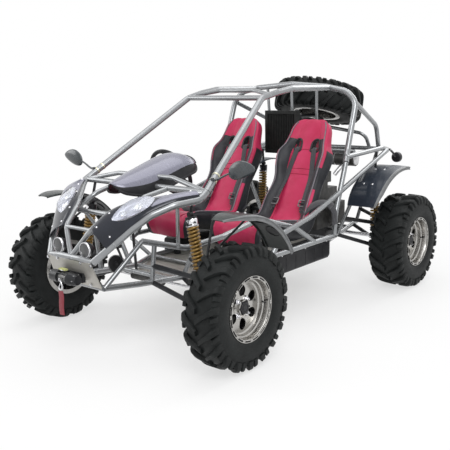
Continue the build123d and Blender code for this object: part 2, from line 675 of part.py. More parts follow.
def damper(top, foot):
    """Rod, body, cap and eyes of a damper, and its coil spring, between two eye centres."""
    run = foot - top
    length = run.length
    plane = Plane(origin=top, x_dir=(0, 1, 0), z_dir=run)
    cap_end = DAMPER_EYE_RADIUS + DAMPER_CAP_LENGTH
    seat = length * (1 - DAMPER_LOWER_SHARE / 2)
    def stage(start, end, radius):
        return Pos(0, 0, (start + end) / 2) * Cylinder(radius, end - start)
    eye = Rot(0, 90, 0) * Cylinder(DAMPER_EYE_RADIUS, DAMPER_EYE_WIDTH)
    body = joined([
        eye,
        Pos(0, 0, length) * eye,
        stage(DAMPER_EYE_RADIUS / 2, length, DAMPER_ROD_RADIUS),
        stage(DAMPER_EYE_RADIUS, cap_end, SPRING_RADIUS),
        stage(length * (1 - DAMPER_LOWER_SHARE), length - DAMPER_EYE_RADIUS, DAMPER_RADIUS),
        stage(seat, seat + SPRING_WIRE, SPRING_RADIUS),
    ])
    spring_start = cap_end + FIT_GAP
    spring_end = seat - FIT_GAP
    wire = SPRING_WIRE / 2
    coil = Helix(pitch=(spring_end - spring_start - SPRING_WIRE) / SPRING_TURNS,
                 height=spring_end - spring_start - SPRING_WIRE, radius=SPRING_RADIUS - wire)
    spring = Pos(0, 0, spring_start + wire) * sweep(Plane(origin=coil @ 0, z_dir=coil % 0) * Circle(wire), path=coil,
                                                    is_frenet=True)
    return plane.location * body, plane.location * spring


def on_leg(start, end, share):
    """Point part of the way from one place to another."""
    return start + (end - start) * share


def axle_nodes(done):
    """Wishbones, knuckles, fenders, dampers and shafts."""
    frames = [done[name] for name in ("lower_frame", "side_frame", "sill_frame", "rear_frame")]
    corners = (
        ("front_arms", FRONT_AXLE_Y, ("tower_front_foot", "tower_rear_foot"), ("arm_high_front", "arm_high_rear"),
         FRONT_CROSSBAR_SHARE, FRONT_FOOT_SHARE, "damper_top_front", "damper_bracket_front"),
        ("rear_arms", REAR_AXLE_Y, ("rear_post_foot", "rear_arm_low_rear"),
         ("rear_arm_high_front", "rear_arm_high_rear"),
         REAR_CROSSBAR_SHARE, REAR_FOOT_SHARE, "damper_top_rear", "damper_bracket_rear"),
    )
    dampers = []
    springs = []
    hangers = []
    for node, axle_y, low, high, bar_share, foot_share, top_name, bracket_name in corners:
        arms = [arm - frames for arm in wishbones(axle_y, low, high, bar_share)]
        done[node] = Compound(mirrored_all(arms))
        bar_start, bar_end = crossbar_ends(axle_y, low, bar_share)
        foot = on_leg(bar_start, bar_end, foot_share) + Vector(0, 0, ARM_TUBE / 2 + DAMPER_EYE_RADIUS + DAMPER_FOOT_GAP)
        body, spring = damper(spot(top_name), foot)
        dampers += mirrored(body)
        springs += mirrored(spring)
        hanger = rod(spot(bracket_name), spot(top_name), DAMPER_ROD_RADIUS)
        hanger -= Pos(*spot(top_name)) * Rot(90, 0, 0) * Cylinder(DAMPER_EYE_RADIUS + FIT_GAP, OVERRUN * 4)
        hangers += mirrored(hanger - [body] - frames - [done["nose_frame"]])
    done["shock_absorbers"] = Compound(dampers)
    done["shock_springs"] = Compound(springs)
    done["shock_mounts"] = Compound(hangers)
    knuckle = upright(FRONT_AXLE_Y, STEER_ARM_LENGTH)
    fender = front_fender() - knuckle
    for name, side in (("left", 0), ("right", 1)):
        done["knuckle_" + name] = mirrored(knuckle)[side]
        done["front_fender_" + name] = mirrored(fender)[side]
    done["rear_hubs"] = Compound(mirrored(upright(REAR_AXLE_Y, 0)))
    shaft = rod(Vector(AXLE_BOX_WIDTH / 2 + FIT_GAP, REAR_AXLE_Y, AXLE_Z),
                Vector(KINGPIN_X - KNUCKLE_THICKNESS / 2 - FIT_GAP, REAR_AXLE_Y, AXLE_Z), SHAFT_RADIUS)
    done["half_shafts"] = Compound(mirrored(shaft))


def steering_nodes(done):
    """Rack housing, tie rods, column and steering wheel."""
    rack_y = FRONT_AXLE_Y + STEER_ARM_LENGTH
    eye_low = AXLE_Z + STEER_ARM_RISE + FIT_GAP
    rack_z = eye_low + TIE_EYE_HEIGHT / 2
    bar_end = RACK_HOUSING_LENGTH / 2 + RACK_TRAVEL_ROOM
    bar = rod(Vector(-bar_end, rack_y, rack_z), Vector(bar_end, rack_y, rack_z), RACK_BAR_RADIUS)
    link = rod(Vector(bar_end - RACK_BAR_RADIUS, rack_y, rack_z), Vector(KINGPIN_X, rack_y, rack_z),
               TIE_ROD_RADIUS)
    eye = Pos(KINGPIN_X, rack_y, rack_z) * Cylinder(STEER_EYE_RADIUS, TIE_EYE_HEIGHT)
    done["tie_rods"] = joined([bar] + mirrored_all([link, eye]))
    housing = Pos(0, rack_y, rack_z) * Rot(0, 90, 0) * Cylinder(RACK_HOUSING_RADIUS, RACK_HOUSING_LENGTH)
    housing -= Pos(0, rack_y, rack_z) * Rot(0, 90, 0) * Cylinder(RACK_BAR_RADIUS + FIT_GAP, RACK_HOUSING_LENGTH * 2)
    done["steering_rack"] = housing - done["lower_frame"]
    tilt = math.radians(GRIP_TILT)
    hub = place(GRIP_HUB_SHARES)
    toward_driver = Vector(0, math.cos(tilt), math.sin(tilt))
    plane = Plane(origin=hub, x_dir=(1, 0, 0), z_dir=toward_driver)
    grip = Torus(GRIP_RADIUS - GRIP_THICKNESS / 2, GRIP_THICKNESS / 2)
    boss = Cylinder(GRIP_HUB_RADIUS, GRIP_HUB_THICKNESS)
    reach = GRIP_RADIUS - GRIP_THICKNESS / 2
    spoke = Pos(0, -reach / 2, 0) * Box(SPOKE_WIDTH, reach, SPOKE_THICKNESS)
    spokes = [Rot(0, 0, turn) * spoke for turn in SPOKE_TURNS]
    done["steering_wheel"] = plane.location * joined([grip, boss] + spokes)
    column_start = hub - toward_driver * (GRIP_HUB_THICKNESS / 2 + FIT_GAP)
    column_end = column_start - toward_driver * COLUMN_LENGTH
    pinion = Vector(hub.X / 3, rack_y, rack_z + RACK_HOUSING_RADIUS)
    column = joined([rod(column_start, column_end, COLUMN_RADIUS), Pos(*column_end) * Sphere(COLUMN_JOINT_RADIUS),
                     rod(column_end, pinion, COLUMN_RADIUS / 2)])
    done["steering_column"] = column - [done[name] for name in ("nose_frame", "hood_frame", "side_frame",
                                                                "lower_frame", "steering_rack")]


def mirrored_all(shapes):
    """Every shape and its mirror image."""
    return [image for shape in shapes for image in mirrored(shape)]


def seat_side_outline():
    """Side view of a seat as (along, up) shares, from the cushion's front edge round to it."""
    points = [place((0, along, up)) for along, up in SEAT_SIDE_SHARES]
    return [(point.Y, point.Z) for point in points]


def seat_front_outline():
    """Front view of a seat as (half-width, height) from the cushion up to the head."""
    return [(share * SEAT_WIDTH / 2, up * CAGE_HEIGHT) for share, up in SEAT_FRONT_SHARES]


def seat(side):
    """Bucket seat as one closed form: its side view cut to its front view."""
    plane = Plane(origin=(0, 0, 0), x_dir=(0, 1, 0), z_dir=(1, 0, 0))
    side_face = plane * make_face(Polyline(*seat_side_outline(), close=True))
    body = extrude(side_face, SEAT_WIDTH / 2, both=True)
    front = seat_front_outline()
    front += [(-x, z) for x, z in reversed(front)]
    front_plane = Plane(origin=(0, 0, 0), x_dir=(1, 0, 0), z_dir=(0, -1, 0))
    front_face = front_plane * make_face(Polyline(*front, close=True))
    body = body & extrude(front_face, WHEELBASE, both=True)
    first, last = SEAT_PANEL_ROWS
    line = [Vector(*point) for point in seat_side_outline()[first:last + 1]]
    back = [point + panel_shift(line[0], line[-1]) for point in line]
    recess = plane * make_face(Polyline(*(line + back[::-1]), close=True))
    body -= extrude(recess, SEAT_WIDTH / 2 * SEAT_CENTRE_SHARE, both=True)
    for mirror_side in (1, -1):
        corners = [(mirror_side * share * SEAT_WIDTH / 2, up * CAGE_HEIGHT) for share, up in SLOT_SHARES]
        body -= extrude(front_plane * make_face(Polyline(*corners, close=True)), WHEELBASE, both=True)
    return Pos(side * SEAT_CENTRE, 0, 0) * body


def panel_shift(low, high):
    """How the middle panel is set back, square to the line of the backrest in side view."""
    run = (high - low).normalized()
    return Vector(run.Y, -run.X) * SEAT_RECESS


def seat_nodes(done):
    """Seats, their belts and the risers under them."""
    frames = [done["lower_frame"], done["side_frame"], done["sill_frame"]]
    legs = []
    floor_top = spot("floor_bend").Z - SIDE_TUBE / 2
    seat_low = place((0, 0, SEAT_LOW_SHARE)).Z
    for along_share in SEAT_LEG_ALONG_SHARES:
        for across_share in SEAT_LEG_ACROSS_SHARES:
            base = place((across_share, along_share, 0))
            leg = Pos(base.X, base.Y, (floor_top + seat_low) / 2) * Box(SEAT_LEG_SIZE, SEAT_LEG_SIZE,
                                                                       seat_low - floor_top)
            legs += mirrored(leg - frames)
    done["seat_mounts"] = Compound(legs)
    for name, side in (("left", 1), ("right", -1)):
        done["seat_" + name] = seat(side)
        straps = []
        for across_share in (-BELT_SPREAD_SHARE, BELT_SPREAD_SHARE):
            top = place((0, SEAT_BELT_TOP_SHARES[0], SEAT_BELT_TOP_SHARES[1]))
            low = place((0, SEAT_BELT_LOW_SHARES[0], SEAT_BELT_LOW_SHARES[1]))
            run = low - top
            lift = Vector(0, -run.Z, run.Y).normalized() * (SEAT_RECESS - BELT_THICKNESS / 2 - FIT_GAP)
            plane = Plane(origin=top + lift, x_dir=(1, 0, 0), z_dir=run)
            strap = extrude(plane * Rectangle(BELT_WIDTH, BELT_THICKNESS), run.length)
            straps.append(Pos(side * SEAT_CENTRE + across_share * SEAT_WIDTH, 0, 0) * strap)
        done["harness_" + name] = Compound(straps)


def engine_nodes(done):
    """Engine block, axle box, radiator and silencer."""
    bar = spot("engine_bar")
    low = bar.Z + BRACE_TUBE / 2 + FIT_GAP
    middle_y = REAR_AXLE_Y - ENGINE_SHIFT
    size = Vector(ENGINE_WIDTH, ENGINE_LENGTH, ENGINE_HEIGHT)
    corner = Vector(-size.X / 2, middle_y - size.Y / 2, low)
    blocks = []
    for low_shares, high_shares in ENGINE_SHARES:
        ends = [corner + Vector(size.X * x, size.Y * y, size.Z * z) for x, y, z in (low_shares, high_shares)]
        blocks.append(block(*ends))
    cover = Pos(0, middle_y, low + ENGINE_HEIGHT * COVER_RISE_SHARE) * Rot(0, 90, 0)
    blocks.append(cover * Cylinder(COVER_RADIUS, ENGINE_WIDTH))
    done["engine"] = joined(blocks)
    box = Pos(0, REAR_AXLE_Y, bar.Z - AXLE_BOX_HEIGHT / 2) * Box(AXLE_BOX_WIDTH, AXLE_BOX_LENGTH, AXLE_BOX_HEIGHT)
    done["axle_box"] = box - done["lower_frame"]
    stay = spot("stay_front")
    core = Pos(0, stay.Y - FIT_GAP - RADIATOR_THICKNESS / 2, stay.Z - OVERRUN + RADIATOR_HEIGHT / 2)
    body = core * Box(RADIATOR_WIDTH, RADIATOR_THICKNESS, RADIATOR_HEIGHT)
    inside = (RADIATOR_WIDTH - RADIATOR_EDGE * 2, RADIATOR_HEIGHT - RADIATOR_EDGE * 2)
    for face in (1, -1):
        body -= core * Pos(0, face * RADIATOR_THICKNESS / 2, 0) * Box(inside[0], RADIATOR_RECESS * 2, inside[1])
    pitch = inside[0] / (RADIATOR_FINS + 1)
    fin = Box(RADIATOR_FIN, RADIATOR_THICKNESS - RADIATOR_RECESS / 2, inside[1])
    fins = [core * Pos(pitch * (index + 1) - inside[0] / 2, 0, 0) * fin for index in range(RADIATOR_FINS)]
    done["radiator"] = joined([body] + fins)
    muffler = spot("tail_end")
    drop = SIDE_TUBE / 2 + MUFFLER_RADIUS + MUFFLER_DROP
    middle = Pos(0, muffler.Y - MUFFLER_SETBACK, muffler.Z - drop)
    can = middle * Rot(0, 90, 0) * Cylinder(MUFFLER_RADIUS, MUFFLER_LENGTH)
    straps = [middle * Pos(side * MUFFLER_LENGTH / 3, MUFFLER_SETBACK, drop / 2) * Box(SEAT_LEG_SIZE, SKID_THICKNESS, drop)
              for side in (1, -1)]
    done["muffler"] = joined([can] + straps) - done["rear_frame"]


def plate_between(points, thickness):
    """Flat plate with its corners at points that lie in one plane."""
    face = make_face(Polyline(*points, close=True))
    return extrude(face, thickness)


def nose_nodes(done):
    """Front plate, winch, hook and strap, lamps and the box behind the guard."""
    top_left = spot("bumper_end") - Vector(0, MAIN_TUBE / 2, 0)
    low_left = spot("skid_foot") - Vector(0, SIDE_TUBE / 2, 0)
    corners = [top_left, low_left, Vector(-low_left.X, low_left.Y, low_left.Z),
               Vector(-top_left.X, top_left.Y, top_left.Z)]
    plate = plate_between(corners, SKID_THICKNESS)
    frames = [done["nose_frame"], done["lower_frame"], done["side_frame"], done["hood_frame"]]
    done["skid_plate"] = plate - frames
    middle = (top_left + low_left) * 0.5
    winch_at = Vector(0, middle.Y - WINCH_RADIUS - SKID_THICKNESS - WINCH_STANDOFF, middle.Z - WINCH_DROP)
    drum = Rot(0, 90, 0) * Cylinder(WINCH_DRUM_RADIUS, WINCH_LENGTH)
    ends = [Pos(side * (WINCH_LENGTH - WINCH_END) / 2, 0, 0) * Rot(0, 90, 0) * Cylinder(WINCH_RADIUS, WINCH_END)
            for side in (-1, 1)]
    foot = Pos(0, WINCH_RADIUS, 0) * Box(WINCH_LENGTH, WINCH_RADIUS * 2, SKID_THICKNESS)
    winch = (Pos(*winch_at) * joined([drum, foot] + ends)) - done["skid_plate"] - frames
    done["winch"] = sorted(winch.solids(), key=lambda solid: solid.volume)[-1]
    hook_top = winch_at - Vector(0, WINCH_DRUM_RADIUS + HOOK_WIDTH / 2 + FIT_GAP, 0)
    hook = Pos(*(hook_top - Vector(0, 0, HOOK_HEIGHT / 2))) * Box(HOOK_WIDTH * 2, HOOK_WIDTH, HOOK_HEIGHT)
    done["winch_hook"] = hook
    strap_top = hook_top - Vector(0, 0, HOOK_HEIGHT + FIT_GAP + STRAP_LENGTH / 2)
    done["winch_strap"] = Pos(*strap_top) * Box(STRAP_WIDTH, STRAP_THICKNESS, STRAP_LENGTH)
    lamps = []
    for side in (1, -1):
        centre = place(LAMP_SHARES, side)
        lamp = Pos(*centre) * Rot(90, 0, 0) * Cylinder(LAMP_RADIUS, LAMP_LENGTH)
        bar = spot("bumper_middle", side)
        foot_low = Vector(centre.X - LAMP_FOOT_WIDTH / 2, bar.Y, bar.Z - SIDE_TUBE / 4)
        foot_high = Vector(centre.X + LAMP_FOOT_WIDTH / 2, centre.Y, centre.Z - LAMP_RADIUS + LAMP_FOOT_SEAT)
        lamps.append(joined([lamp, block(foot_low, foot_high)]) - frames)
    done["driving_lamps"] = Compound(lamps)


def body_nodes(done):
    """Cowl, fairings, headlamps, floor, side boxes, mirrors and tail fittings."""
    frames = [done[name] for name in ("nose_frame", "hood_frame", "side_frame", "sill_frame", "lower_frame",
                                      "roof_cage")]
    sections = []
    for along, half_share, edge, crown in COWL_SHARES:
        half = half_share * HALF_TRACK
        y = BASE_SHIFT + along * HALF_BASE
        low = edge * CAGE_HEIGHT
        high = crown * CAGE_HEIGHT
        outline = [
            ThreePointArc((-half, low), (0, high), (half, low)),
            Line((half, low), (half - COWL_SKIN, low)),
            ThreePointArc((half - COWL_SKIN, low), (0, high - COWL_SKIN), (COWL_SKIN - half, low)),
            Line((COWL_SKIN - half, low), (-half, low)),
        ]
        sections.append(Plane(origin=(0, y, 0), x_dir=(1, 0, 0), z_dir=(0, -1, 0)) * make_face(Wire(outline)))
    done["cowl"] = loft(sections, ruled=True) - frames
    panel, lens = fairing()
    panel = panel - frames
    lens = lens - frames
    done["headlamp_housings"] = Compound(mirrored(panel))
    done["headlamp_lenses"] = Compound(mirrored(lens))
    floor_low = spot("floor_bend").Z - SIDE_TUBE / 2 - FLOOR_THICKNESS
    front = spot("lower_back")
    rear = spot("floor_rear")
    bend = spot("floor_bend")
    outline = [(front.X, front.Y), (bend.X, bend.Y), (rear.X, rear.Y), (-rear.X, rear.Y), (-bend.X, bend.Y),
               (-front.X, front.Y)]
    floor = extrude(Plane(origin=(0, 0, floor_low)) * make_face(Polyline(*outline, close=True)), FLOOR_THICKNESS)
    done["floor_pan"] = floor - frames
    pods = []
    for side in (1, -1):
        inner = bend.X + SIDE_TUBE / 2 + FIT_GAP
        centre = Vector(side * (inner + POD_WIDTH / 2), place((0, POD_MIDDLE_SHARE, 0)).Y, bend.Z)
        pods.append(Pos(*centre) * Box(POD_WIDTH, POD_LENGTH_SHARE * WHEELBASE, POD_HEIGHT))
    done["side_boxes"] = Compound([pod - frames for pod in pods])
    heads = []
    for side in (1, -1):
        head = place(MIRROR_SHARES, side)
        root = place(MIRROR_ROOT_SHARES, side)
        glass_end = Plane(origin=head + Vector(0, MIRROR_DEPTH / 2, 0), x_dir=(1, 0, 0), z_dir=(0, -1, 0))
        front_end = Plane(origin=head - Vector(0, MIRROR_DEPTH / 2, 0), x_dir=(1, 0, 0), z_dir=(0, -1, 0))
        oval = (MIRROR_WIDTH / 2, MIRROR_HEIGHT / 2)
        small = [radius * MIRROR_TAPER_SHARE for radius in oval]
        shell = loft([glass_end * Ellipse(*oval), front_end * Ellipse(*small)], ruled=True)
        stalk = rod(root, head, MIRROR_ARM_RADIUS)
        heads.append(joined([shell, stalk]) - frames)
    done["mirrors"] = Compound(heads)
    lamps = []
    for side in (1, -1):
        lamp = place(TAIL_LAMP_SHARES, side)
        root = spot("tail_end", side)
        case = Pos(*lamp) * Rot(90, 0, 0) * Cylinder(TAIL_LAMP_RADIUS, TAIL_LAMP_LENGTH)
        lamps.append(joined([case, rod(root, lamp, MIRROR_ARM_RADIUS * 2)]) - done["rear_frame"])
    done["tail_lamps"] = Compound(lamps)
    root = spot("tow_root")
    plate = Pos(0, root.Y + SIDE_TUBE / 2 + TOW_PLATE_REACH / 2 - TOW_PLATE_THICKNESS, root.Z) * Box(
        TOW_PLATE_WIDTH, TOW_PLATE_REACH + TOW_PLATE_THICKNESS, TOW_PLATE_THICKNESS)
    hole_y = root.Y + SIDE_TUBE / 2 + TOW_PLATE_REACH - TOW_HOLE_INSET
    plate = plate - done["lower_frame"] - Pos(0, hole_y, root.Z) * Cylinder(TOW_HOLE_RADIUS, OVERRUN * 2)
    done["tow_plate"] = sorted(plate.solids(), key=lambda solid: solid.volume)[-1]
    fender = rear_fender([done["side_frame"], done["rear_frame"]])
    done["rear_fenders"] = Compound(mirrored(fender))


def fairing():
    """Left nose panel that follows the rails, and the almond lens let into it."""
    rows = [(spot(inner), spot(outer)) for inner, outer in FAIRING_ROWS]
    middles = [(inner + outer) * 0.5 for inner, outer in rows]
    sections = []
    tops = []
    for index, (inner, outer) in enumerate(rows):
        before = middles[max(index - 1, 0)]
        after = middles[min(index + 1, len(rows) - 1)]
        normal = (outer - inner).cross(after - before).normalized()
        if normal.Z < 0:
            normal = -normal
        low_in = inner + normal * (BRACE_TUBE / 2 + FIT_GAP)
        low_out = outer + normal * (MAIN_TUBE / 2 + FIT_GAP)
        high_in = low_in + normal * PANEL_SKIN
        high_out = low_out + normal * PANEL_SKIN
        crown = (high_in + high_out) * 0.5 + normal * PANEL_CROWN
        tops.append((crown, normal))
        outline = [Line(low_in, low_out), Line(low_out, high_out), ThreePointArc(high_out, crown, high_in),
                   Line(high_in, low_in)]
        sections.append(make_face(Wire(outline)))
    panel = loft(sections, ruled=True)
    normal = tops[2][1]
    along = tops[3][0] - tops[1][0]
    plane = Plane(origin=(tops[1][0] + tops[3][0]) * 0.5 - normal * OVERRUN * 3, x_dir=along, z_dir=normal)
    tip = LENS_LENGTH / 2
    side = LENS_WIDTH / 2
    almond = make_face(Wire([ThreePointArc((-tip, 0), (0, side), (tip, 0)),
                             ThreePointArc((tip, 0), (0, -side), (-tip, 0))]))
    prism = extrude(plane * almond, OVERRUN * 6)
    lens = panel & prism
    return panel - prism, lens


def main():
    nodes = frame_nodes()
    wheel_nodes(nodes)
    nodes["spare_carrier"] = spare_carrier(nodes)
    axle_nodes(nodes)
    steering_nodes(nodes)
    seat_nodes(nodes)
    engine_nodes(nodes)
    nose_nodes(nodes)
    body_nodes(nodes)
    os.makedirs("parts", exist_ok=True)
    for name, shape in nodes.items():
        export_step(shape, "parts/" + name + ".step")


main()
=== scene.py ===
import json
import math

import bmesh
import bpy
import numpy as np
from mathutils import Matrix, Vector
from mathutils.bvhtree import BVHTree


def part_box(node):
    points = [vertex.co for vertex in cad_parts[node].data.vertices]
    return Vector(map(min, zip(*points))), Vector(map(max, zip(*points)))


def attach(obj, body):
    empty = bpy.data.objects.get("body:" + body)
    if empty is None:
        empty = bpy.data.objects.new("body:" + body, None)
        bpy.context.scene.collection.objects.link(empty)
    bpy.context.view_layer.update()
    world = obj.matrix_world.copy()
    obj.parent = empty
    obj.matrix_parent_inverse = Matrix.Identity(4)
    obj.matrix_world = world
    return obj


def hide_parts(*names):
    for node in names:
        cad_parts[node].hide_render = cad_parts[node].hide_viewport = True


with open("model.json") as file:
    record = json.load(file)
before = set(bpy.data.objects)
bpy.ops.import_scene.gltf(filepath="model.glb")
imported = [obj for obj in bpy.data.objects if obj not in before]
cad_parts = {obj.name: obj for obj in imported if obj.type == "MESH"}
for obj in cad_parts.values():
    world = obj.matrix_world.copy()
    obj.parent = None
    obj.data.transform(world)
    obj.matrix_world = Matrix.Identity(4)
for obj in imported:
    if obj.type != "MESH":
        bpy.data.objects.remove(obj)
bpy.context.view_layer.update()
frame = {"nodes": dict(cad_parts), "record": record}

# The camera: its place, its turn from +Y, its tilts and its focal length over the picture's width
CAMERA_PLACE = Vector((2.773772, -3.426460, 1.385842))
CAMERA_TURN = -0.694
CAMERA_PITCH = -0.197
CAMERA_ROLL = -0.018
FOCAL_SHARE = 699.636 / 450
SENSOR_WIDTH = 36.0

MM = 0.001
ALONG = Vector((0, 1, 0))
ACROSS = Vector((1, 0, 0))
UP = Vector((0, 0, 1))

# Places that the panels and fittings follow, on the left side
BASE_SHIFT = 0.0725
FAIRING_INNER = ((0.0959, -1.3191, 0.6944), (0.1288, -1.2284, 0.7672), (0.1834, -1.1563, 0.8036),
                 (0.3290, -1.0101, 0.8344), (0.4130, -0.9111, 0.8512))
FAIRING_OUTER = ((0.2149, -1.3200, 0.6104), (0.2898, -1.2247, 0.7056), (0.3500, -1.1498, 0.7700),
                 (0.4200, -1.0536, 0.8134), (0.4697, -0.9222, 0.8260))
# Cowl sections: along, half-width, height of the edge and of the crown
COWL_SECTIONS = ((-1.0961, 0.049, 0.8484, 0.896), (-0.9065, 0.1155, 0.8232, 0.952),
                 (-0.6475, 0.140, 0.896, 1.015), (-0.518, 0.119, 0.924, 0.9884))
COWL_ROWS = 56
COWL_COLUMNS = 33
COWL_SILVER = (4, 28)
COWL_ENDS = (0.10, 0.12)
DASH_ROW = 44
DASH_HALVES = (88 * MM, 34 * MM)
PILLAR_FOOT = Vector((0.4697, -0.8704 + BASE_SHIFT, 0.8596))
PILLAR_TOP = Vector((0.2912, -0.1563 + BASE_SHIFT, 1.3104))

# Tyres
LUG_COUNT = 18
LUG_DEPTH = 15 * MM
LUG_SWEEP = 0.24
LUG_WIDTHS = (24 * MM, 34 * MM)
LUG_STEPS = 12
BLOCK_SWEEP = 0.02
BLOCK_DROP = 2 * MM
BLOCK_WIDTHS = (22 * MM, 26 * MM)
TYRE_STEPS = 108
CARCASS_SHARES = ((0.76, 0.00), (0.81, 0.05), (0.90, 0.17), (0.965, 0.36), (0.955, 0.60), (0.90, 0.78),
                  (0.78, 0.90), (0.45, 0.965), (0.0, 0.985))
LUG_LINE_SHARES = ((0.02, 1.0), (0.40, 0.998), (0.72, 0.985), (0.90, 0.925), (0.98, 0.80), (0.985, 0.66))

# Wheels
SLOT_COUNT = 16
SLOT_BRIDGE = (-0.15, -0.05, 0.05, 0.15)
WINDOW_COUNT = 6
DISC_SHARE = 0.22
WHEEL_STEPS = 96
CAP_LUGS = 6
CAP_RADIUS = 33 * MM
WINDOW_PLACE = 86 * MM
WINDOW_HALVES = (30 * MM, 25 * MM)
NUT_COUNT = 4
NUT_PLACE = 50 * MM

# Seat: the middle line in shares of the seat's own box, with the half-width and bolster height
SEAT_LINE_SHARES = (
    (0.040, 0.04, 0.80, 0.00), (0.010, 0.15, 0.90, 0.05), (0.045, 0.225, 0.95, 0.20),
    (0.14, 0.235, 0.97, 0.35), (0.32, 0.185, 0.98, 0.60), (0.50, 0.140, 0.98, 0.80),
    (0.585, 0.175, 0.96, 0.95), (0.655, 0.30, 0.93, 1.00), (0.735, 0.46, 0.86, 0.72),
    (0.795, 0.60, 0.94, 1.00), (0.832, 0.690, 0.96, 1.00), (0.862, 0.770, 0.82, 0.62),
    (0.890, 0.845, 0.75, 0.42), (0.913, 0.912, 0.70, 0.30), (0.934, 0.963, 0.58, 0.16),
    (0.952, 0.990, 0.36, 0.03),
)
BOLSTER_HEIGHT = 58 * MM
SEAT_DEPTH = 78 * MM
SEAT_CAP = 14 * MM
SEAT_STEPS = 400
# Shares along and across the seat where its covers change
HEAD_SHARE = 0.80
UPPER_SHARES = (0.66, 0.90)
SHOULDER_SHARES = (0.58, 0.80)
HIP_SHARES = (0.28, 0.47)
FRONT_SHARE = 0.24
PANEL_SHARE = 0.55
BOLSTER_SHARE = 0.84
SIDE_SHARE = 0.985
COLUMN_SHARES = (("ridge", 0.87), ("valley", 0.52), ("side", 0.97))
SEAT_ROWS = 104
SEAT_COLUMNS = 72
SIM_FRAMES = 20
SEAT_PRESSURE = 4.0
SEAT_HALF = 200 * MM
SEAT_CENTRE = 280 * MM
SEAM_ROWS = (56, 60, 72)
# Slot outline on one side, and the belt's line, in mm across and up
SLOT_OUTLINE = [(36, 962), (60, 952), (90, 962), (96, 992), (88, 1024), (62, 1032), (40, 1012)]
BELT_PATH = ((64, 972), (72, 920), (84, 850), (98, 750), (108, 660), (112, 610))
BELT_WIDTH = 36 * MM
BUCKLE_SHARE = 0.84
LAP_PAD_PATH = ((150, 150, 600), (190, 170, 640), (232, 205, 664), (272, 235, 662), (296, 245, 640))

# Steered and fixed fenders, the lamps and the small fittings
FRONT_AXLE = BASE_SHIFT - 0.925
REAR_AXLE = BASE_SHIFT + 0.925
AXLE_HEIGHT = 0.3175
FENDER_REACH = 459 * MM
FENDER_WIDTH = 174 * MM
FENDER_TURNS = (-14, 63)
FENDER_FLANGE = 26 * MM
REAR_FENDER_FLANGE = 22 * MM
FENDER_TAPERS = (0.58, 0.12)
FENDER_TIP_SHARE = 0.30
FENDER_STAY_X = 587 * MM
FENDER_ROWS = 44
FENDER_MIDDLE = 7
# Row of the front fender where a black disc of painted shade stands for its round recess
RECESS_SHADE_ROW = 33
FENDER_BEAM_ROWS = (6, 16, 27)
STAY_RADIUS = 6.5 * MM
STAY_TURNS = (-4, 30)
REAR_FENDER_ROWS = 40
REAR_FENDER_REACH = 465 * MM
REAR_FENDER_WIDTH = 232 * MM
REAR_FENDER_GROWTH = 44 * MM
REAR_FENDER_TURNS = (-54, 12)
FAIRING_LIFTS = (13.3 * MM, 19.3 * MM)
FAIRING_RISE = 6 * MM
FAIRING_CROWN = 12 * MM
FAIRING_LENS_ROW = 22
LENS_SIZE = (236 * MM, 112 * MM)
FAIRING_PANEL_ROW = 33
PANEL_MIDDLE = 7
FAIRING_ROWS = 49
FAIRING_COLUMNS = 17
FAIRING_MIDDLE = FAIRING_COLUMNS // 2
BOWL_RINGS = ((0.0, 1.0), (-4 * MM, 0.97), (-16 * MM, 0.86), (-24 * MM, 0.62), (-27 * MM, 0.30))
LENS_SHARES = (1.0, 0.97, 0.80, 0.55, 0.28)
BULBS = ((-0.22, 19 * MM), (0.12, 23 * MM))
FAIRING_SCREWS = ((3, 3), (4, 13), (12, 2), (36, 3), (46, 4))
MIRROR_ROOT = (0.462, BASE_SHIFT - 0.814, 0.913)
MIRROR_LENGTH = 160 * MM
MIRROR_LIFT = 26 * MM
MIRROR_HEIGHT = 47 * MM
MIRROR_DEPTHS = (17 * MM, 12 * MM)
BUCKLE_HALVES = (29 * MM, 21 * MM)
LAMP_RADIUS = 40 * MM
LAMP_LAYERS = (("lamp_shell", 48, 0, False), ("lamp_bezel", 48, 1, True),
               ("lamp_reflector", 48, 2, False), ("lamp_bulb", 24, 1, False))
POD_ENDS = ((0.0, 0.90), (0.04, 1.0), (0.96, 1.0), (1.0, 0.90))
POD_BOLTS = (0.08, 0.5, 0.92)
POD_RIB_START = 0.15
POD_RIB_STEP = 0.175
ENGINE_BOLTS = (-90, -30, 30, 90)
SILENCER_BANDS = (-150, -50, 50, 150)
SILENCER_HALF = 209 * MM
FAN_TURN = 0.4
ROPE_TURNS = 16
ROPE_STEP = 4.4 * MM
TIE_TURNS = (0.6, 2.2, 3.9, 5.3)
HOOK_LOOP = ((0, 0), (1, -6), (6, -16), (12, -28), (13, -42), (6, -54), (-5, -58), (-13, -51), (-13, -42))
BOOT_RIBS = 6
POD_RIBS = 5
POD_CORNER = 0.28
FIN_COUNT = 11
FIN_STEP = 12.5 * MM
FIN_SIZE = (236 * MM, 150 * MM, 3 * MM)
FAN_RADIUS = 112 * MM
STEERING_TILT = 25
HORN_PLACE = (0.150, -1.135, 0.508)
HORN_ROOT = (0.236, -1.200, 0.612)
SKID_BOLTS = ((0.93, 0.90), (0.50, 0.93), (0.60, 0.08))
COIL_TURNS = 16
COIL_STEPS = 24
COIL_RADIUS = 25 * MM
COIL_WIRE = 7.5 * MM
CLAMP_SHARES = (0.10, 0.15)
PILLAR_RADIUS = 19 * MM
POD_WIDTH = 120 * MM
TAIL_HEIGHT = 0.8428
TAIL_ROOT = (0.462, 1.225, 0.912)

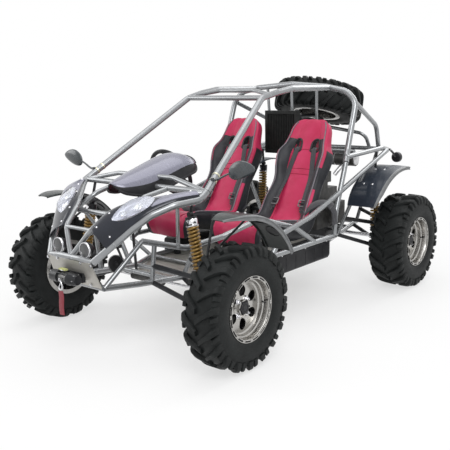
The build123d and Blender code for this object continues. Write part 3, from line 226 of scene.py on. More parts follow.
# Lamps: name, place, size and power; the surround's level and the floor
LAMPS = (
    ("key", (3.6, -3.2, 4.2), (3.0, 3.0), 150),
    ("fill", (-4.2, -3.0, 3.0), (3.0, 3.0), 70),
    ("back", (0.5, 4.6, 3.6), (3.6, 2.4), 70),
    ("top", (0.0, 0.0, 4.8), (4.0, 4.0), 80),
)
LIGHT_TARGET = Vector((0, 0, 0.6))
WORLD_LEVEL = 0.44
FLOOR_REACH = 9.0
FLOOR_FADE = 3.4
FLOOR_GLOW = 0.45
FLOOR_COLOUR = (0.92, 0.92, 0.92, 1)

# Turned profiles: places along the axis and radii, in mm
PROFILE_ROWS = {
    "bead_rivet": ((0, 0), (0, 2.6), (1.2, 1.8), (1.2, 0)),
    "wheel_stud": ((0, 0), (0, 4), (20, 4), (20, 0)),
    "bulb": ((2, 0), (2, 5), (12, 5), (15, 3), (16, 0)),
    "fairing_screw": ((0, 0), (0, 5.4), (1.6, 5.2), (3.6, 3.8), (4.2, 2.6), (3.0, 2.0), (3.0, 0)),
    "dial": ((0, 0), (0, 27), (9, 27), (10, 24), (5, 22), (5, 0)),
    # Shallow black disc of painted shade that stands for the round recess under the front fender
    "recess_shade_disc": ((0, 0), (0, 44), (5, 43), (6, 40), (2, 37), (1.5, 0)),
    "fork_clamp": ((-8, 0), (-8, 11), (8, 11), (8, 0)),
    "stay_end": ((-9, 0), (-9, 12), (9, 12), (9, 0)),
    "damper_cap": ((-6, 0), (-6, 30), (-2, 34), (2, 34), (4, 29), (8, 28), (10, 30), (30, 31),
        (38, 27), (43, 17), (45, 9), (45, 0)),
    "damper_nut": ((0, 0), (0, 9), (4, 8), (4, 0)),
    "damper_seat": ((-8, 0), (-8, 27), (-3, 33), (2, 33), (4, 22), (4, 0)),
    "mirror_foot": ((-12, 0), (-12, 10), (12, 10), (12, 0)),
    "lamp_shell": ((-50, 0), (-50, 14), (-44, 26), (-26, 36), (-12, 39), (-9, 39)),
    "lamp_bezel": ((-10, 36), (-10, 40), (-2, 40), (0, 38.5), (0, 35), (-4, 34.5)),
    "lamp_reflector": ((-34, 0), (-34, 8), (-28, 20), (-16, 30), (-4, 35), (-5, 36)),
    "lamp_bulb": ((-33, 0), (-33, 6), (-14, 6), (-12, 11), (-9, 11), (-8, 0)),
    "lamp_glass": ((-5, 0), (-5, 35), (-3, 35), (0.5, 22), (1.5, 0)),
    "winch_drum": ((-38, 0), (-38, 30), (-34, 31), (-34, 14), (34, 14), (34, 31), (38, 30), (38, 0)),
    "winch_motor": ((-100, 0), (-100, 22), (-94, 30), (-44, 32), (-38, 33), (-38, 0)),
    "winch_gearbox": ((38, 0), (38, 34), (46, 34), (50, 31), (86, 31), (92, 26), (100, 24), (100, 0)),
    "winch_end": ((-101, 0), (-101, 18), (-96, 20), (-96, 0)),
    "hook_eye": ((-5, 4), (-5, 9), (5, 9), (5, 4)),
    "horn_body": ((-34, 0), (-34, 18), (-16, 22), (-8, 42), (-2, 47), (4, 47), (6, 44), (2, 38),
        (2, 15), (9, 13), (11, 8), (11, 0)),
    "horn_rim": ((4.5, 43), (7, 44), (7, 47.5), (4.5, 48)),
    "pillar_band": ((-5, 18), (-5, 21.2), (5, 21.2), (5, 18)),
    "silencer_end": ((0, 0), (0, 42), (6, 40), (10, 30), (10, 0)),
    "fan_hub": ((-6, 0), (-6, 30), (14, 28), (16, 0)),
    "steering_pad": ((0, 0), (0, 40), (14, 36), (18, 26), (19, 0)),
    "tail_shell": ((-30, 0), (-30, 30), (-26, 36), (-6, 38), (0, 38), (2, 36), (2, 0)),
}
PROFILES = {name: [(x * MM, radius * MM) for x, radius in rows] for name, rows in PROFILE_ROWS.items()}


class Shape:
    """Vertices and faces that grow part by part, with a material number for each face."""

    def __init__(self):
        self.points = []
        self.faces = []
        self.slots = []

    def add(self, points, faces, slot=0):
        base = len(self.points)
        self.points += [tuple(point) for point in points]
        self.faces += [tuple(base + index for index in face) for face in faces]
        self.slots += [slot] * len(faces)
        return self

    def rings(self, rings, slot=0, closed=False, caps=True):
        """Skin over rings of points that have the same count."""
        count = len(rings[0])
        faces = grid_faces(len(rings), count, closed, True)
        if caps and not closed:
            faces += [tuple(range(count))[::-1], tuple((len(rings) - 1) * count + i
                                                       for i in range(count))]
        return self.add([point for ring in rings for point in ring], faces, slot)

    def lathe(self, profile, steps=64, slot=0, closed=False, place=None):
        """Turned form about X from (x, radius) points or a row of the profile table."""
        profile = PROFILES[profile] if isinstance(profile, str) else profile
        rings = []
        for x, radius in profile:
            rings.append([polar(x, radius, turn) for turn in turns(steps)])
        if place is not None:
            rings = [[place @ point for point in ring] for ring in rings]
        return self.rings(rings, slot, closed)

    def tube(self, path, radius, steps=12, slot=0, closed=False):
        """Round bar along a path, with one radius or one for each point."""
        radii = radius if hasattr(radius, "__len__") else [radius] * len(path)
        frames = path_frames(path, closed)
        rings = [[point + (side * math.cos(turn) + over * math.sin(turn)) * size for turn in turns(steps)]
                 for point, (side, over), size in zip(path, frames, radii)]
        return self.rings(rings, slot, closed)

    def ribbon(self, path, normal, width, thickness, slot=0):
        """Flat strap along a path, its face towards the normal."""
        rings = []
        for index, point in enumerate(path):
            ahead = path[min(index + 1, len(path) - 1)] - path[max(index - 1, 0)]
            side = ahead.cross(normal).normalized() * (width / 2)
            lift = normal.normalized() * thickness
            edge = lift * 0.5
            rings.append([point - side + edge * 0.2, point - side * 0.94, point + side * 0.94,
                          point + side + edge * 0.2, point + side + lift * 0.8,
                          point + side * 0.94 + lift, point - side * 0.94 + lift,
                          point - side + lift * 0.8])
        return self.rings(rings, slot)

    def box(self, centre, size, slot=0, matrix=None):
        """Box about a centre, turned by a matrix where one is given."""
        corners = [Vector((x * size[0] / 2, y * size[1] / 2, z * size[2] / 2)) for x in (-1, 1)
                   for y in (-1, 1) for z in (-1, 1)]
        turned = [(matrix @ corner if matrix else corner) + Vector(centre) for corner in corners]
        return self.add(turned, [(0, 1, 3, 2), (4, 6, 7, 5), (0, 4, 5, 1), (2, 3, 7, 6), (0, 2, 6, 4),
                                 (1, 5, 7, 3)], slot)

    def bolt(self, place, direction, radius, height, slot=0):
        """Hexagon head with a washer under it."""
        turn = facing(direction, place)
        self.lathe([(0, 0.0), (0, radius * 1.5), (height * 0.25, radius * 1.5), (height * 0.25, 0.0)], 16,
                   slot, place=turn)
        return self.lathe([(height * 0.2, 0.0), (height * 0.2, radius), (height * 0.85, radius),
                           (height, radius * 0.8), (height, 0.0)], 6, slot, place=turn)


def mm(x, y, z):
    """Vector from millimetres."""
    return Vector((x * MM, y * MM, z * MM))


def polar(x, radius, turn):
    """Place at a length along X and a radius and turn about it."""
    return Vector((x, radius * math.sin(turn), radius * math.cos(turn)))


def turns(steps):
    """Even turns round a circle."""
    return [2 * math.pi * step / steps for step in range(steps)]


def grid_faces(rows, columns, close_rows=False, close_columns=False):
    """Quads over rows of points."""
    faces = []
    for i in range(rows if close_rows else rows - 1):
        for j in range(columns if close_columns else columns - 1):
            below = (i + 1) % rows
            beside = (j + 1) % columns
            faces.append((i * columns + j, i * columns + beside, below * columns + beside,
                          below * columns + j))
    return faces


def facing(direction, place):
    """Matrix that turns the X axis to a direction and moves the origin to a place."""
    rotation = Vector(direction).to_track_quat("X", "Z").to_matrix().to_4x4()
    return Matrix.Translation(place) @ rotation


def path_frames(path, closed=False):
    """Side and over vectors along a path, with no twist."""
    frames = []
    side = None
    last = len(path) - 1
    for index in range(len(path)):
        if closed:
            ahead = (path[(index + 1) % len(path)] - path[index - 1]).normalized()
        else:
            ahead = (path[min(index + 1, last)] - path[max(index - 1, 0)]).normalized()
        if side is None:
            side = ahead.orthogonal().normalized()
        side = (side - ahead * side.dot(ahead)).normalized()
        frames.append((side, ahead.cross(side)))
    return frames


def smooth(points, count):
    """Points at even steps of the smooth curve through the given ones."""
    points = [Vector(point) for point in points]
    spans = len(points) - 1
    result = []
    for step in range(count):
        place = step * spans / (count - 1)
        index = min(int(place), spans - 1)
        t = place - index
        p1, p2 = points[index], points[index + 1]
        p0 = points[index - 1] if index else p1 * 2 - p2
        p3 = points[index + 2] if index + 2 <= spans else p2 * 2 - p1
        result.append((p1 * 2 + (p2 - p0) * t + (p0 * 2 - p1 * 5 + p2 * 4 - p3) * t ** 2
                       + (p1 * 3 - p0 - p2 * 3 + p3) * t ** 3) * 0.5)
    return result


def spread(points, count):
    """Points at even lengths along a run of points."""
    lengths = [0.0]
    for before, after in zip(points, points[1:]):
        lengths.append(lengths[-1] + (Vector(after) - Vector(before)).length)
    wanted = np.linspace(0, lengths[-1], count)
    columns = [np.interp(wanted, lengths, [point[axis] for point in points])
               for axis in range(len(points[0]))]
    return [Vector(row) for row in zip(*columns)]


def linked(name, data, place=None):
    """A new object in the scene, at a place where one is given."""
    piece = bpy.data.objects.new(name, data)
    if place is not None:
        piece.matrix_world = place
    bpy.context.scene.collection.objects.link(piece)
    return piece


def make(shape, name, finishes, sharp=35.0, outward=True):
    """Object from a shape, with sharp edges only where the surface turns by more than an angle."""
    mesh = bpy.data.meshes.new(name)
    mesh.from_pydata(shape.points, [], shape.faces)
    for finish in finishes:
        mesh.materials.append(PAINTS[finish])
    mesh.polygons.foreach_set("material_index", shape.slots)
    mesh.validate()
    work = bmesh.new()
    work.from_mesh(mesh)
    bmesh.ops.remove_doubles(work, verts=work.verts, dist=1e-6)
    if outward:
        bmesh.ops.recalc_face_normals(work, faces=work.faces)
    work.to_mesh(mesh)
    work.free()
    mesh.shade_smooth()
    mesh.set_sharp_from_angle(angle=math.radians(sharp))
    return linked(name, mesh)


def applied(piece):
    """The piece with its modifiers applied to its mesh."""
    bpy.context.view_layer.update()
    graph = bpy.context.evaluated_depsgraph_get()
    mesh = bpy.data.meshes.new_from_object(piece.evaluated_get(graph), depsgraph=graph)
    piece.modifiers.clear()
    piece.data = mesh
    return piece


def bevelled(piece, width, segments=2, angle=35.0):
    """Small round edges."""
    bevel = piece.modifiers.new("bevel", "BEVEL")
    bevel.width = width
    bevel.segments = segments
    bevel.limit_method = "ANGLE"
    bevel.angle_limit = math.radians(angle)
    applied(piece)
    piece.data.shade_smooth()
    piece.data.set_sharp_from_angle(angle=math.radians(angle))
    return piece


def cut(piece, cutter):
    """The piece less the cutter."""
    boolean = piece.modifiers.new("cut", "BOOLEAN")
    boolean.operation = "DIFFERENCE"
    boolean.solver = "EXACT"
    boolean.object = cutter
    applied(piece)
    bpy.data.objects.remove(cutter)
    return piece


def mirror_copy(piece, name):
    """A copy of the piece on the other side."""
    mesh = piece.data.copy()
    mesh.transform(Matrix.Scale(-1, 4, ACROSS))
    mesh.flip_normals()
    return linked(name, mesh)


def on_both_sides(shape):
    """The shape with its mirror image added."""
    points = [(-x, y, z) for x, y, z in shape.points]
    base = len(shape.points)
    shape.points += points
    shape.faces += [tuple(base + index for index in reversed(face)) for face in shape.faces]
    shape.slots += shape.slots
    return shape


def carried(piece, body, slot, *nodes):
    """The piece rides on a body and stands for nodes; the slot is not used."""
    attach(piece, body)
    if nodes:
        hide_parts(*nodes)
    return piece


def put(shape, name, finishes, body, slot, *nodes, sharp=35.0):
    """An object from a shape, carried by a body."""
    return carried(make(shape, name, finishes, sharp), body, slot, *nodes)


def node_points(node, place=Matrix()):
    """Vertices of a node as an array, through a matrix where one is given."""
    return np.array([tuple(place @ vertex.co) for vertex in frame["nodes"][node].data.vertices])


def node_solids(node):
    """Points of each separate solid of a node, as arrays."""
    mesh = frame["nodes"][node].data
    keys = {}
    first = []
    for vertex in mesh.vertices:
        key = tuple(round(value, 5) for value in vertex.co)
        first.append(keys.setdefault(key, len(keys)))
    parent = list(range(len(keys)))

    def root(index):
        while parent[index] != index:
            parent[index] = parent[parent[index]]
            index = parent[index]
        return index
    for edge in mesh.edges:
        parent[root(first[edge.vertices[0]])] = root(first[edge.vertices[1]])
    groups = {}
    for key, index in keys.items():
        groups.setdefault(root(index), []).append(key)
    return [np.array(group) for group in groups.values()]


def main_axis(points, smallest=False):
    """Centre of a solid and the direction of its longest or its shortest side."""
    low, high = points.min(0), points.max(0)
    centre = (low + high) / 2
    vectors = np.linalg.eigh(np.cov((points - points.mean(0)).T))[1]
    return Vector(centre), Vector(vectors[:, 0 if smallest else 2])


def centre_size(low, high):
    """Centre and size of a box from its corners."""
    low, high = Vector(low), Vector(high)
    return (low + high) / 2, high - low


# Finishes: two tones, least and most roughness, metal, tone and bump scales, bump height in mm, coat
FINISHES = {
    "silver_tube": ((0.25, 0.26, 0.27), (0.30, 0.31, 0.32), 0.20, 0.28, 0.60, 5, 600, 0.012, 0.40),
    "tyre_rubber": ((0.006, 0.007, 0.007), (0.013, 0.015, 0.015), 0.50, 0.68, 0.0, 18, 900, 0.20, 0.0),
    "polished_alloy": ((0.40, 0.39, 0.375), (0.50, 0.49, 0.47), 0.20, 0.28, 1.0, 12, 500, 0.004, 0.0),
    "brushed_alloy": ((0.52, 0.52, 0.53), (0.66, 0.66, 0.67), 0.25, 0.40, 1.0, 30, 900, 0.03, 0.0),
    "black_steel": ((0.014, 0.015, 0.017), (0.030, 0.031, 0.034), 0.30, 0.50, 0.2, 22, 500, 0.06, 0.2),
    "bright_steel": ((0.55, 0.55, 0.57), (0.72, 0.72, 0.74), 0.16, 0.32, 1.0, 30, 600, 0.03, 0.0),
    "spring_gold": ((0.20, 0.11, 0.018), (0.29, 0.17, 0.032), 0.28, 0.42, 0.35, 40, 600, 0.04, 0.3),
    "dark_gloss": ((0.010, 0.012, 0.019), (0.018, 0.021, 0.032), 0.12, 0.20, 0.2, 10, 300, 0.004, 0.45),
    "cowl_silver": ((0.215, 0.215, 0.270), (0.235, 0.235, 0.295), 0.24, 0.30, 0.25, 4, 500, 0.01, 0.4),
    "dark_plastic": ((0.030, 0.034, 0.038), (0.048, 0.052, 0.058), 0.34, 0.52, 0.0, 16, 800, 0.12, 0.15),
    "black_plastic": ((0.012, 0.012, 0.014), (0.024, 0.024, 0.027), 0.35, 0.55, 0.0, 24, 900, 0.12, 0.1),
    "trim_grey": ((0.16, 0.165, 0.17), (0.23, 0.235, 0.24), 0.38, 0.52, 0.1, 20, 700, 0.08, 0.1),
    "tail_red": ((0.42, 0.010, 0.012), (0.58, 0.020, 0.020), 0.08, 0.16, 0.0, 30, 200, 0.02, 0.8),
    "plate_grey": ((0.40, 0.385, 0.35), (0.50, 0.485, 0.445), 0.34, 0.48, 0.35, 9, 500, 0.04, 0.1),
    "engine_metal": ((0.045, 0.045, 0.045), (0.10, 0.098, 0.094), 0.42, 0.62, 0.6, 26, 700, 0.20, 0.0),
    "lever_yellow": ((0.42, 0.44, 0.16), (0.52, 0.54, 0.22), 0.35, 0.48, 0.0, 30, 500, 0.05, 0.2),
    "chrome": ((0.72, 0.72, 0.74), (0.84, 0.84, 0.86), 0.08, 0.14, 1.0, 20, 200, 0.005, 0.0),
    "amber": ((0.60, 0.20, 0.02), (0.75, 0.28, 0.03), 0.10, 0.20, 0.0, 30, 200, 0.02, 0.6),
    "fender_dark": ((0.016, 0.021, 0.020), (0.026, 0.032, 0.031), 0.30, 0.46, 0.0, 16, 800, 0.10, 0.2),
    "fender_blue": ((0.020, 0.027, 0.040), (0.028, 0.036, 0.052), 0.34, 0.42, 0.15, 5, 700, 0.02, 0.2),
    "mirror_grey": ((0.026, 0.032, 0.036), (0.045, 0.054, 0.060), 0.20, 0.34, 0.1, 14, 600, 0.05, 0.5),
    "lens_silver": ((0.62, 0.62, 0.70), (0.70, 0.70, 0.78), 0.30, 0.36, 0.3, 8, 200, 0.004, 0.0),
    "rope_grey": ((0.20, 0.20, 0.20), (0.34, 0.34, 0.33), 0.40, 0.55, 0.8, 90, 1400, 0.30, 0.0),
    "brass": ((0.50, 0.48, 0.36), (0.66, 0.64, 0.50), 0.22, 0.36, 0.9, 60, 500, 0.03, 0.0),
    "seam_red": ((0.26, 0.010, 0.035), (0.36, 0.018, 0.055), 0.55, 0.70, 0.0, 60, 1200, 0.15, 0.0),
    "radiator_black": ((0.012, 0.013, 0.013), (0.026, 0.028, 0.027), 0.40, 0.55, 0.3, 30, 700, 0.08, 0.0),
    "piping_grey": ((0.16, 0.15, 0.17), (0.24, 0.22, 0.25), 0.45, 0.60, 0.0, 60, 900, 0.10, 0.1),
}
# Ringed finishes: scale, distortion and height; leathers: tones and sheen; webbings: tones
RINGED = (
    ("tyre_rubber", 60, 0.0, 0.12 * MM), ("polished_alloy", 160, 1.0, 0.008 * MM),
    ("brushed_alloy", 160, 1.0, 0.008 * MM),
)
LEATHERS = (
    ("seat_red", (0.46, 0.020, 0.075), (0.56, 0.036, 0.115), 0.06),
    ("seat_black", (0.014, 0.015, 0.019), (0.026, 0.028, 0.034), 0.05),
)
WEBBINGS = (
    ("belt_webbing", (0.016, 0.016, 0.020), (0.050, 0.050, 0.058)),
    ("strap_red", (0.17, 0.004, 0.014), (0.27, 0.010, 0.028)),
)
RIB_SCALE = 11
RIB_HEIGHT = 3 * MM
SCUFF_GAIN = 1.15
SCRATCH_STRETCH = 2.5
PAINTS = {}


class Nodes:
    """Short names for building a material's nodes."""

    def __init__(self, name):
        self.material = bpy.data.materials.new(name)
        self.material.use_nodes = True
        self.tree = self.material.node_tree
        self.surface = self.tree.nodes["Principled BSDF"]
        self.place = self.new("ShaderNodeTexCoord").outputs["Object"]
        self.normal = None

    def new(self, kind, **settings):
        node = self.tree.nodes.new(kind)
        for key, value in settings.items():
            setattr(node, key, value)
        return node

    def link(self, start, end):
        self.tree.links.new(start, end)

    def set(self, **values):
        for key, value in values.items():
            self.surface.inputs[key.replace("_", " ").title().replace("Ior", "IOR")].default_value = value

    def noise(self, scale, detail=4.0, place=None, rough=0.55):
        node = self.new("ShaderNodeTexNoise")
        node.inputs["Scale"].default_value = scale
        node.inputs["Detail"].default_value = detail
        node.inputs["Roughness"].default_value = rough
        self.link(place or self.place, node.inputs["Vector"])
        return node.outputs["Fac"]

    def tone(self, fac, low, high, first=0.3, last=0.7):
        ramp = self.new("ShaderNodeValToRGB")
        ramp.color_ramp.elements[0].position = first
        ramp.color_ramp.elements[1].position = last
        ramp.color_ramp.elements[0].color = (*low, 1)
        ramp.color_ramp.elements[1].color = (*high, 1)
        self.link(fac, ramp.inputs["Fac"])
        return ramp.outputs["Color"]

    def mixed(self, fac, first, second, kind="MIX"):
        mix = self.new("ShaderNodeMix", data_type="RGBA", blend_type=kind)
        self.link(fac, mix.inputs["Factor"])
        self.link(first, mix.inputs[6])
        self.link(second, mix.inputs[7])
        return mix.outputs[2]

    def span(self, fac, low, high, first=0.3, last=0.7):
        node = self.new("ShaderNodeMapRange")
        node.inputs["From Min"].default_value = first
        node.inputs["From Max"].default_value = last
        node.inputs["To Min"].default_value = low
        node.inputs["To Max"].default_value = high
        self.link(fac, node.inputs["Value"])
        return node.outputs["Result"]

    def stretched(self, scale):
        node = self.new("ShaderNodeMapping")
        node.inputs["Scale"].default_value = scale
        self.link(self.place, node.inputs["Vector"])
        return node.outputs["Vector"]

    def bump(self, height, distance, strength=1.0):
        node = self.new("ShaderNodeBump")
        node.inputs["Strength"].default_value = strength
        node.inputs["Distance"].default_value = distance
        self.link(height, node.inputs["Height"])
        if self.normal is not None:
            self.link(self.normal, node.inputs["Normal"])
        self.normal = node.outputs["Normal"]
        self.link(self.normal, self.surface.inputs["Normal"])


def basic_paint(name):
    """A table row's finish: drifting tone, uneven gloss, fine surface grain and light scuffs."""
    low, high, least, most, metal, tone_scale, bump_scale, height, coat = FINISHES[name]
    nodes = Nodes(name)
    drift = nodes.noise(tone_scale, 6.0)
    scuffs = nodes.noise(tone_scale * 4, 3.0, nodes.stretched((1, SCRATCH_STRETCH, 1)))
    colour = nodes.tone(drift, low, high)
    pale = nodes.tone(drift, [value * SCUFF_GAIN for value in low],
                      [value * SCUFF_GAIN for value in high])
    nodes.link(nodes.mixed(nodes.span(scuffs, 0.0, 1.0, 0.62, 0.74), colour, pale),
               nodes.surface.inputs["Base Color"])
    nodes.link(nodes.span(scuffs, least, most), nodes.surface.inputs["Roughness"])
    nodes.set(metallic=metal, coat_weight=coat, coat_roughness=0.08, specular_ior_level=0.5
              if metal > 0.3 or coat > 0.45 else 0.22)
    nodes.bump(nodes.noise(bump_scale, 3.0), height * MM)
    return nodes


def leather(name, low, high, sheen):
    """Grained leather with soft broad creases."""
    nodes = Nodes(name)
    drift = nodes.noise(9, 5.0)
    nodes.link(nodes.tone(drift, low, high), nodes.surface.inputs["Base Color"])
    grain = nodes.new("ShaderNodeTexVoronoi", feature="DISTANCE_TO_EDGE")
    grain.inputs["Scale"].default_value = 420
    nodes.link(nodes.place, grain.inputs["Vector"])
    nodes.link(nodes.span(nodes.noise(60, 3.0), 0.38, 0.52), nodes.surface.inputs["Roughness"])
    nodes.set(sheen_weight=sheen, sheen_roughness=0.4, specular_ior_level=0.3)
    nodes.bump(nodes.noise(28, 4.0), 1.4 * MM, 0.6)
    nodes.bump(grain.outputs["Distance"], 0.35 * MM, 0.7)
    return nodes


def webbing(name, low, high):
    """Woven belt: fine ribs across it and along it."""
    nodes = Nodes(name)
    weave = []
    for direction, scale in (("X", 70), ("Z", 110)):
        wave = nodes.new("ShaderNodeTexWave", bands_direction=direction)
        wave.inputs["Scale"].default_value = scale
        nodes.link(nodes.place, wave.inputs["Vector"])
        weave.append(wave.outputs["Fac"])
    nodes.link(nodes.mixed(nodes.noise(30), nodes.tone(weave[0], low, high),
                           nodes.tone(weave[1], low, high)), nodes.surface.inputs["Base Color"])
    nodes.link(nodes.span(nodes.noise(80), 0.62, 0.82), nodes.surface.inputs["Roughness"])
    nodes.set(sheen_weight=0.25, sheen_roughness=0.5)
    for height in weave:
        nodes.bump(height, 0.3 * MM, 0.6)
    return nodes


def ringed_paint(name, scale, distortion, height):
    """A table finish with fine rings about the X axis, from a mould or a lathe."""
    nodes = basic_paint(name)
    ring = nodes.new("ShaderNodeTexWave", wave_type="RINGS", rings_direction="X")
    ring.inputs["Scale"].default_value = scale
    ring.inputs["Distortion"].default_value = distortion
    nodes.link(nodes.place, ring.inputs["Vector"])
    nodes.bump(ring.outputs["Fac"], height, 0.3)
    return nodes


def glass_paint():
    """Clear lamp cover."""
    nodes = Nodes("lamp_glass")
    nodes.set(base_color=(0.93, 0.95, 0.98, 1), transmission_weight=0.92, ior=1.45, coat_weight=0.3)
    nodes.link(nodes.span(nodes.noise(25), 0.01, 0.03), nodes.surface.inputs["Roughness"])
    return nodes


def ribbed_paint(name, direction, scale, height):
    """A table finish with pressed or moulded ribs."""
    nodes = basic_paint(name)
    wave = nodes.new("ShaderNodeTexWave", bands_direction=direction)
    wave.inputs["Scale"].default_value = scale
    nodes.link(nodes.place, wave.inputs["Vector"])
    nodes.bump(wave.outputs["Fac"], height)
    return nodes


def paints():
    """All materials by name."""
    for name in FINISHES:
        PAINTS[name] = basic_paint(name).material
    for name, scale, distortion, height in RINGED:
        PAINTS[name] = ringed_paint(name, scale, distortion, height).material
    for name, low, high, sheen in LEATHERS:
        PAINTS[name] = leather(name, low, high, sheen).material
    for name, low, high in WEBBINGS:
        PAINTS[name] = webbing(name, low, high).material
    PAINTS["lamp_glass"] = glass_paint().material
    PAINTS["floor_ribs"] = ribbed_paint("plate_grey", "X", RIB_SCALE, RIB_HEIGHT).material


def paint_frame():
    """Each CAD node that stays gets its slot's finish."""
    for part in frame["record"]["subparts"]:
        name = {"seat_leather": "seat_red"}.get(part["material_slot"], part["material_slot"])
        name = {"floor_pan": "floor_ribs", "radiator": "radiator_black",
                "shock_absorbers": "black_steel"}.get(part["node"], name)
        for place in frame["nodes"][part["node"]].material_slots:
            place.material = PAINTS[name]


def wheel_place(node):
    """Matrix of a wheel: its axle as X, its outer face ahead, and its centre."""
    points = node_points(node)
    centre, axle = main_axis(points, smallest=True)
    outward = UP if node.endswith("spare") else ACROSS * centre.x
    if axle.dot(outward) < 0:
        axle = -axle
    turn = Matrix((axle, ALONG.cross(axle) if abs(axle.x) > 0.5 else ACROSS, (0, 0, 0))).transposed()
    side = Vector(turn.col[1]).normalized()
    over = axle.cross(side)
    rotation = Matrix((axle, side, over)).transposed().to_4x4()
    return Matrix.Translation(centre) @ rotation


def tyre_shape(half, radius, bore):
    """Carcass with long curved lugs and shoulder blocks."""
    shape = Shape()
    top = radius - LUG_DEPTH
    side = [(half * x, bore + (top - bore) * up) for x, up in CARCASS_SHARES]
    outline = smooth([(x, r, 0) for x, r in side], 18)
    profile = [(point.x, point.y) for point in outline] + [(-point.x, point.y)
                                                           for point in reversed(outline[:-1])]
    inner = [(-half * 0.70, bore), (half * 0.70, bore)]
    shape.lathe(profile + inner, TYRE_STEPS, closed=True)
    line = smooth([(half * x, bore + (radius - bore) * up, 0) for x, up in LUG_LINE_SHARES], 40)
    line = spread(line, LUG_STEPS)
    for side_sign, offset in ((1, 0.0), (-1, 0.5)):
        for index in range(LUG_COUNT):
            start = (index + offset) * 2 * math.pi / LUG_COUNT
            add_lug(shape, line, side_sign, start, LUG_SWEEP, 0, LUG_WIDTHS)
            block = line[-5:]
            add_lug(shape, block, side_sign, start + LUG_SWEEP + math.pi / LUG_COUNT, BLOCK_SWEEP,
                    BLOCK_DROP, BLOCK_WIDTHS)
    return shape


def add_lug(shape, line, side_sign, start, sweep, drop, widths):
    """One lug that follows a line of (x, radius) places while it turns about the axle."""
    rings = []
    count = len(line)
    for index, point in enumerate(line):
        share = index / (count - 1)
        ahead = line[min(index + 1, count - 1)] - line[max(index - 1, 0)]
        normal = Vector((-ahead.y, ahead.x)).normalized()
        if normal.y < 0:
            normal = -normal
        normal = Vector((abs(normal.x), normal.y))
        depth = LUG_DEPTH + 4 * MM
        turn = start + sweep * (1 - (1 - share) ** 1.7)
        width = widths[0] + (widths[1] - widths[0]) * share
        ring = []
        for across, down in ((-0.62, depth), (-0.50, 2.5 * MM + drop), (-0.42, drop), (0.42, drop),
                             (0.50, 2.5 * MM + drop), (0.62, depth)):
            x = point.x - normal.x * down
            r = point.y - normal.y * down
            angle = turn + across * width / r
            ring.append(polar(side_sign * x, r, angle))
        rings.append(ring)
    shape.rings(rings)


def wheel_shape(half, lip, bore):
    """Deep-dish alloy wheel with a slotted bead ring; the windows are cut afterwards."""
    shape = Shape()
    disc = half * DISC_SHARE
    barrel = [(half, lip), (half - 1 * MM, lip - 3 * MM), (half - 5 * MM, lip - 4 * MM),
              (half - 6 * MM, bore - 2 * MM), (half - 12 * MM, bore - 5 * MM),
              (half * 0.62, bore - 8 * MM), (half * 0.58, bore - 14 * MM),
              (disc + 16 * MM, bore - 18 * MM), (disc + 4 * MM, bore - 19 * MM), (-half, bore - 12 * MM),
              (-half, lip), (-half + 8 * MM, lip), (-half + 10 * MM, bore), (half - 13 * MM, bore),
              (half - 11 * MM, lip)]
    shape.lathe(barrel, WHEEL_STEPS, closed=True)
    shape.lathe([(half - 5 * MM, bore - 3 * MM), (half - 1 * MM, bore - 3 * MM), (half, bore - 2 * MM),
                 (half, bore + 1 * MM), (half - 5 * MM, bore + 1 * MM)], WHEEL_STEPS, closed=True)
    step = 2 * math.pi / SLOT_COUNT
    for index in range(SLOT_COUNT):
        middle = index * step
        bridge = []
        for turn in SLOT_BRIDGE:
            angle = middle + turn * step
            ring = [polar(x, r, angle) for x, r in ((half - 5 * MM, bore), (half - 5 * MM, lip - 2 * MM),
                                                    (half - 0.5 * MM, lip - 2 * MM),
                                                    (half - 0.5 * MM, bore))]
            bridge.append(ring)
        shape.rings(bridge)
        place = polar(half - 1 * MM, bore + 7 * MM, middle)
        shape.lathe("bead_rivet", 10, 1, place=Matrix.Translation(place))
    shape.lathe([(half - 6.5 * MM, bore - 1 * MM), (half - 6.5 * MM, lip - 1 * MM),
                 (half - 5 * MM, lip - 1 * MM), (half - 5 * MM, bore - 1 * MM)], WHEEL_STEPS, 2,
                closed=True)
    return shape


def disc_shape(half, bore):
    """The wheel's dished face."""
    disc = half * DISC_SHARE
    shape = Shape()
    front = [(disc + 16 * MM, bore - 17.5 * MM), (disc + 9 * MM, bore - 24 * MM),
             (disc + 11 * MM, bore - 36 * MM), (disc + 14 * MM, WINDOW_PLACE), (disc + 12 * MM, 62 * MM),
             (disc + 8 * MM, 58 * MM), (disc + 10 * MM, 40 * MM), (disc + 24 * MM, 38 * MM),
             (disc + 26 * MM, 34 * MM)]
    back = [(disc - 4 * MM, 34 * MM), (disc - 2 * MM, 58 * MM), (disc + 4 * MM, WINDOW_PLACE),
            (disc - 2 * MM, bore - 30 * MM), (disc + 2 * MM, bore - 17.5 * MM)]
    return shape.lathe(front + back, WHEEL_STEPS, closed=True)


def window_cutter(half):
    """Oval prisms where the wheel's windows go."""
    shape = Shape()
    disc = half * DISC_SHARE
    tall, wide = WINDOW_HALVES
    for index in range(WINDOW_COUNT):
        middle = (index + 0.5) * 2 * math.pi / WINDOW_COUNT
        out = polar(0, 1, middle)
        side = Vector((0, math.cos(middle), -math.sin(middle)))
        rings = [[ACROSS * x + out * (WINDOW_PLACE + tall * math.cos(turn)) + side * wide * math.sin(turn)
                  for turn in turns(28)] for x in (disc - 40 * MM, disc + 50 * MM)]
        shape.rings(rings)
    return make(shape, "cutter", [])


